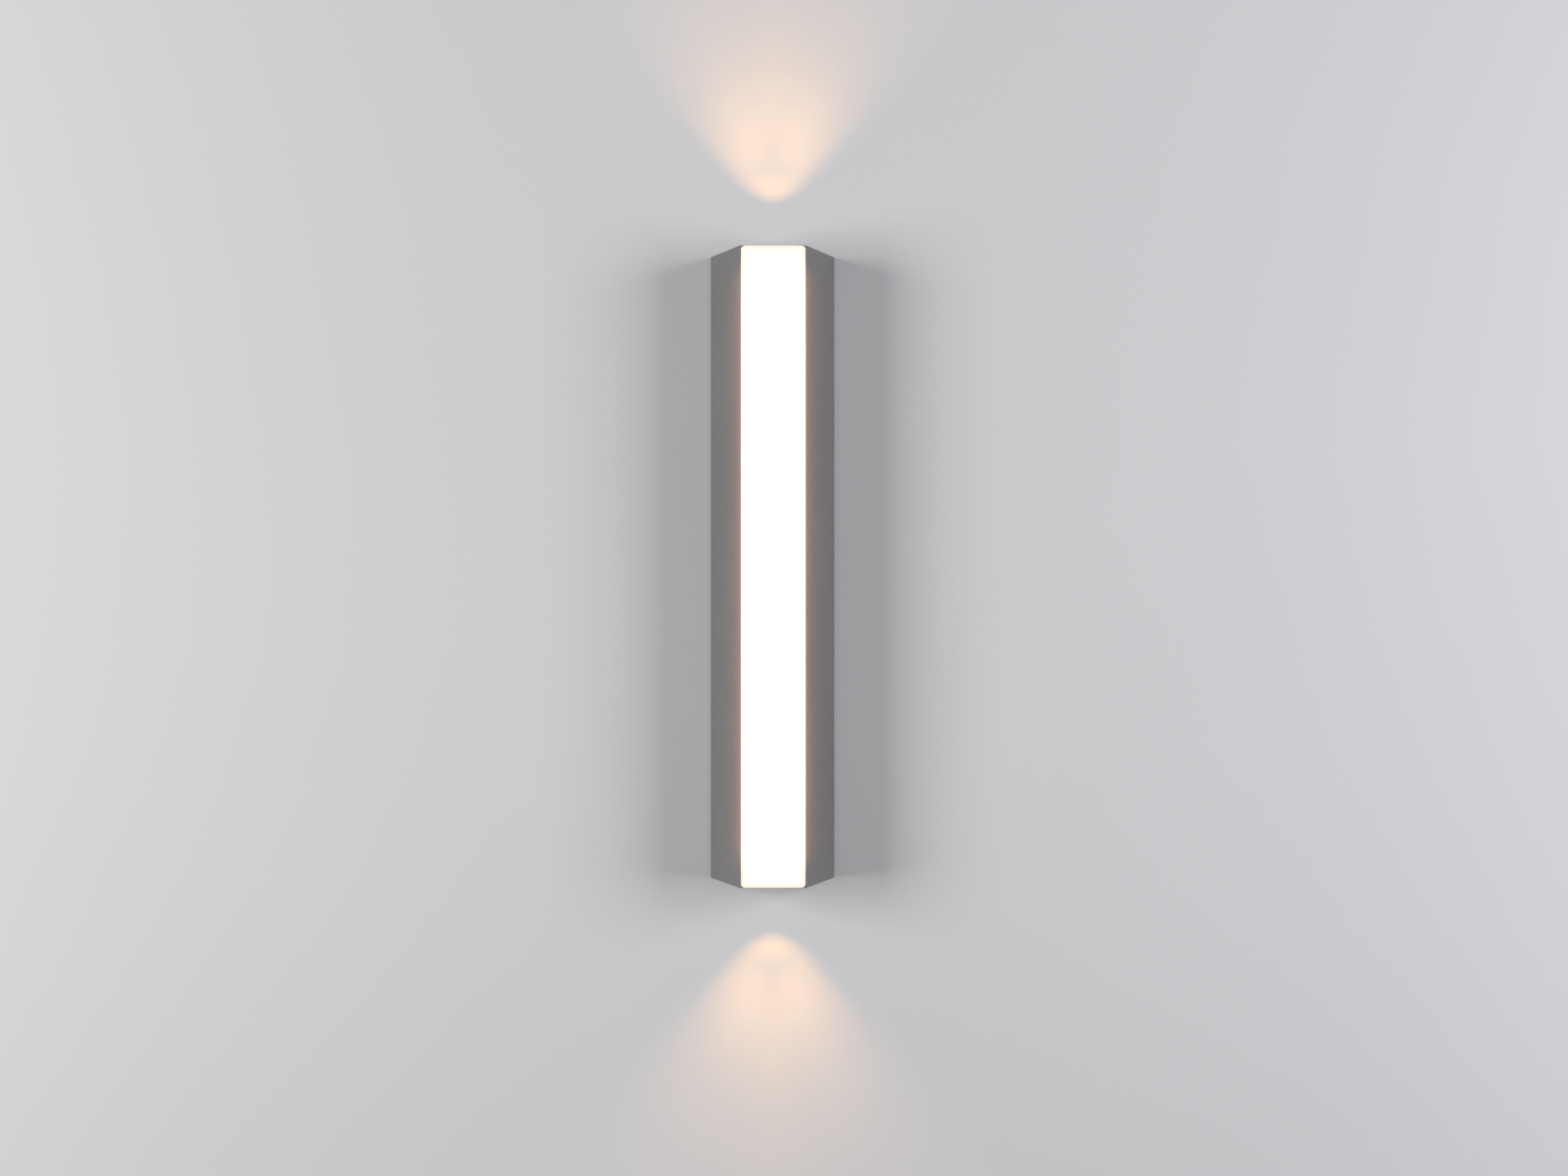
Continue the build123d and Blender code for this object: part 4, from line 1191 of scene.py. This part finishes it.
@dataclass(frozen=True)
class LensShape:
    """Section of a moulded lens, as radii and as heights over its base, in millimetres.

    Attributes:
        dome_rim: Where the dome over the chip ends.
        dome_tip: Height of the dome's tip.
        dome_power: Bend of the dome, with 0.5 for a parabola.
        cup: Radius of the mouth of the cup under the dome.
        foot: Radius of the foot.
        flank_top: Where the flank ends.
        flank_power: Bend of the flank, with 1 for a straight cone.
        face_rim: Where the sunk face ends.
        face_slope: How far the rim round the face leans outwards.
        steps: Spans along the dome and along the flank.
    """

    dome_rim: Corner = (2.8, 3.2)
    dome_tip: float = 4.6
    dome_power: float = 0.5
    cup: float = 2.9
    foot: float = 4.4
    flank_top: Corner = (8.1, 8.9)
    flank_power: float = 1.44
    face_rim: Corner = (7.7, 9.8)
    face_slope: float = 0.2
    steps: int = 8

    def outline(self, radius: float, height: float) -> Profile:
        """Works out half of the lens's section.

        Args:
            radius: Radius of its flange.
            height: Its height.

        Returns:
            Corners as (radius, height over its base), from the dome's tip to the face's middle.
        """
        dome = flare(self.dome_rim, (0.0, self.dome_tip), self.dome_power, self.steps)
        return [
            *reversed(dome),
            (self.cup, 0.0),
            *flare((self.foot, 0.0), self.flank_top, self.flank_power, self.steps),
            (radius, self.flank_top[1]),
            (radius, height),
            (self.face_rim[0] + self.face_slope, height),
            self.face_rim,
            (0.0, self.face_rim[1]),
        ]


@dataclass
class SpotEnd(SubAssembly):
    """Spot in one end: glass, holder, lens, chip, board and heat plate.

    Attributes:
        end: Which end.
        lens: Shape of its lens.
        lens_facets: Facets round the lens.
        lens_edge_mm: Rounding of the lens's rims.
        beam_out_mm: How far outside the end its light starts.
        beam_face_mm: Width and height of what it starts from.
        beam_colour: Colour of its light.
        beams: Parts of its light.
    """

    end: End = End.TOP
    lens: LensShape = LensShape()
    lens_facets: int = 64
    lens_edge_mm: float = 0.15
    beam_out_mm: float = 1.5
    beam_face_mm: float = 2.0
    beam_colour: Colour = (1.0, 0.50, 0.12)
    beams: tuple[Beam, ...] = (
        Beam("flood", 84.8, 0.43, 0.232, 4.8, 0.0),
        Beam("left_core", 52.0, 1.0, 0.693, 0.3, -14.1),
        Beam("middle_core", 70.1, 1.0, 0.695, 8.9, 0.0),
        Beam("right_core", 52.0, 1.0, 0.693, 0.3, 14.1),
        Beam("spill", 170.0, 0.5, 0.0022, 0.0, 0.0),
    )

    def __post_init__(self) -> None:
        """Names this end's nodes."""
        pieces = ("window", "window_seal", "lens_holder", "led", "led_board", "heat_plate", "screws")
        self.nodes = named(f"{self.end.prefix}_spot", *pieces)

    @property
    def lens_node(self) -> str:
        """Name of the node that the lens stands for."""
        return f"{self.end.prefix}_spot_lens"

    def build(self) -> None:
        """Turns the lens and hangs the spot's light outside the glass."""
        self.build_lens()
        self.hang_beams()

    def build_lens(self) -> None:
        """Turns the lens and seats it in its holder."""
        low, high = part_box(self.lens_node)
        outline = self.lens.outline(high.x / MM, (high.z - low.z) / MM)
        shape = spun(outline, self.lens_facets, closed=False)
        soften(shape, self.lens_edge_mm)
        flip = Matrix.Rotation(0.0 if self.end is End.TOP else math.pi, 4, "X")
        move(shape, (0.0, middle_of(self.lens_node).y, self.end.inner(self.lens_node)), flip)
        self.paint.finish_piece(f"{self.end.prefix}_lens", shape, self.lens_node)

    def hang_beams(self) -> None:
        """Hangs the parts of the spot's light just outside its end cap."""
        start = self.end.outer(f"{self.end.prefix}_end_cap") + self.end.value * self.beam_out_mm * MM
        place = Vector((0.0, middle_of(self.lens_node).y, start))
        face = self.beam_face_mm * MM
        for beam in self.beams:
            lamp = Lamp(
                name=f"{self.end.prefix}_{beam.name}",
                place=tuple(place),
                aim=tuple(place + beam.ahead(self.end)),
                power=beam.power,
                colour=self.beam_colour,
                size=(face, face),
                spread=beam.angle,
                mirrored=False,
            )
            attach(lamp.beam(beam.softness), LIGHT_BODY)


@dataclass
class Driver(SubAssembly):
    """Supply that feeds the strip and the spots."""

    nodes: tuple[str, ...] = named(
        "driver", "case", "cover", "circuit_board", "transformer", "capacitors", "screws"
    )


@dataclass
class Wiring(SubAssembly):
    """Terminal block, earth point and wires."""

    nodes: tuple[str, ...] = (
        *named("terminal", "block", "clamps", "clamp_screws", "fixing_screws"),
        *named("earth", "tag", "screw", "wire"),
        "live_wire",
        "neutral_wire",
        "positive_leads",
        "negative_leads",
    )


@dataclass
class Studio:
    """Plain pale wall, soft lamps, surroundings and camera.

    Attributes:
        effects: Where shared effects come from.
        wall_half: Half the wall's width and height, in metres.
        wall_fade: Distances from the light between which the wall fades into the surroundings.
        wall_gap: Room between the light's back and the wall.
        wall_colour: Colour of the wall.
        wall_rough: Its roughness.
        wall_tone: How far its lightness drifts.
        wall_patch: Drifts to the metre.
        footprint: Half-width and half-height of the wall behind the light.
        pale: What the camera, gloss and glass see past the wall.
        ambient: Even light from all sides.
        eye: Where the camera is.
        turn: How far it turns to the right, in radians.
        lens_mm: Its focal length.
        near: Nearest that it sees, in metres.
        lamps: Softboxes before and behind the wall.
    """

    effects: EffectShop
    wall_half: float = 1.5
    wall_fade: Range = (0.78, 1.25)
    wall_gap: float = 0.0003
    wall_colour: Colour = (0.62, 0.62, 0.63)
    wall_rough: float = 0.9
    wall_tone: float = 0.01
    wall_patch: float = 1.5
    footprint: Pair = (0.0435, 0.2235)
    pale: Colour = (0.64, 0.64, 0.65)
    ambient: Colour = (0.130, 0.130, 0.132)
    eye: Point = (-0.0134, -1.471, -0.0149)
    turn: float = 0.01476
    lens_mm: float = 46.47
    near: float = 0.01
    lamps: tuple[Lamp, ...] = field(
        default_factory=lambda: (
            Lamp("left_softbox", (-1.852, -1.26, 0.11), 42.2, (1.0, 1.0, 1.0), (0.9, 1.2)),
            Lamp("right_softbox", (1.736, -1.201, 0.16), 32.5, (0.975, 0.965, 1.0), (0.9, 1.2)),
            Lamp("rear_left_softbox", (-0.7, 1.6, 0.3), 15.0, (1.0, 1.0, 1.0), (2.2, 2.2), mirrored=False),
            Lamp("rear_right_softbox", (0.7, 1.6, 0.3), 15.0, (1.0, 1.0, 1.0), (2.2, 2.2), mirrored=False),
        )
    )

    def build(self) -> None:
        """Sets up the wall, the lamps, the surroundings and the camera."""
        self.build_wall()
        for lamp in self.lamps:
            lamp.softbox()
        self.build_world()
        self.build_camera()
        bpy.context.scene.view_settings.view_transform = "Standard"

    def build_wall(self) -> None:
        """Makes the wall, with the part behind the light as a surface of its own."""
        shape = bmesh.new()
        bmesh.ops.create_grid(shape, x_segments=1, y_segments=1, size=self.wall_half)
        for axis, reach in enumerate(self.footprint):
            for edge in (-reach, reach):
                where = Vector((0.0, 0.0, 0.0))
                where[axis] = edge
                parts = [*shape.verts, *shape.edges, *shape.faces]
                bmesh.ops.bisect_plane(shape, geom=parts, plane_co=where, plane_no=where.normalized())
        for face in shape.faces:
            centre = face.calc_center_median()
            inside = all(abs(centre[axis]) < reach for axis, reach in enumerate(self.footprint))
            face.material_index = int(inside)
        move(shape, (0.0, self.wall_gap, 0.0), UP_TO_FRONT)
        around = self.wall_surface("plain_wall", behind=False)
        behind = self.wall_surface("wall_behind_light", behind=True)
        add_shape("plain_wall", shape, around, behind)
        LOG.info("plain_wall: stage")

    def wall_surface(self, name: str, behind: bool) -> bpy.types.Material:
        """Makes a smooth painted wall that is clear from behind and fades far from the light.

        Args:
            name: Name of the material.
            behind: Whether only the camera sees it, so that light reaches the back of the light.

        Returns:
            The material.
        """
        surface = Surface(name, self.effects)
        feeds = {"Colour": self.wall_colour, "Scale": self.wall_patch, "Amount": self.wall_tone}
        paint = surface.effect(Effect.TONE, **feeds)["Colour"]
        surface.wear(Base_Color=paint, Roughness=self.wall_rough, Specular_IOR_Level=0.0)
        away = surface.add("VectorMath", {0: surface.where}, operation="LENGTH").outputs["Value"]
        faded = surface.remap(away, self.wall_fade, (0.0, 1.0))
        clear = surface.calc("MAXIMUM", faded, surface.add("NewGeometry").outputs["Backfacing"])
        if behind:
            seen = surface.add("LightPath").outputs["Is Camera Ray"]
            clear = surface.calc("MAXIMUM", clear, surface.calc("SUBTRACT", 1.0, seen))
        shaders = {0: clear, 1: surface.shader.outputs[0], 2: surface.add("BsdfTransparent").outputs[0]}
        surface.feed(surface.output.inputs["Surface"], surface.add("MixShader", shaders).outputs[0])
        return surface.material

    def build_world(self) -> None:
        """Sets the even light, and the pale surroundings that camera, gloss and glass see."""
        world = bpy.data.worlds.new("studio")
        world.use_nodes = True
        bpy.context.scene.world = world
        graph = Graph(world.node_tree)
        path = graph.add("LightPath").outputs
        seen = graph.calc("MAXIMUM", path["Is Camera Ray"], path["Is Glossy Ray"])
        seen = graph.calc("MAXIMUM", seen, path["Is Transmission Ray"])
        sky = graph.add("Background", {"Color": graph.blend(seen, self.ambient, self.pale), "Strength": 1.0})
        graph.add("OutputWorld", {"Surface": sky.outputs[0]})

    def build_camera(self) -> None:
        """Sets the camera square in front of the light."""
        data = bpy.data.cameras.new("camera")
        data.lens = self.lens_mm
        data.clip_start = self.near
        camera = add_object("camera", data)
        camera.location = self.eye
        camera.rotation_euler = (math.pi / 2, 0.0, -self.turn)
        bpy.context.scene.camera = camera


def main() -> None:
    """Builds and dresses the light, then sets up its wall, lamps and camera."""
    logging.basicConfig(level=logging.INFO, format="%(name)s: %(message)s")
    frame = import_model()
    paint = PaintShop(frame)
    assemblies = (
        WallMount(paint),
        Housing(paint),
        CableEntry(paint),
        FrontStrip(paint),
        SpotEnd(paint, end=End.TOP),
        SpotEnd(paint, end=End.BOTTOM),
        Driver(paint),
        Wiring(paint),
    )
    for assembly in assemblies:
        assembly.build()
        assembly.dress()
    Studio(paint.effects).build()


if __name__ == "__main__":
    main()
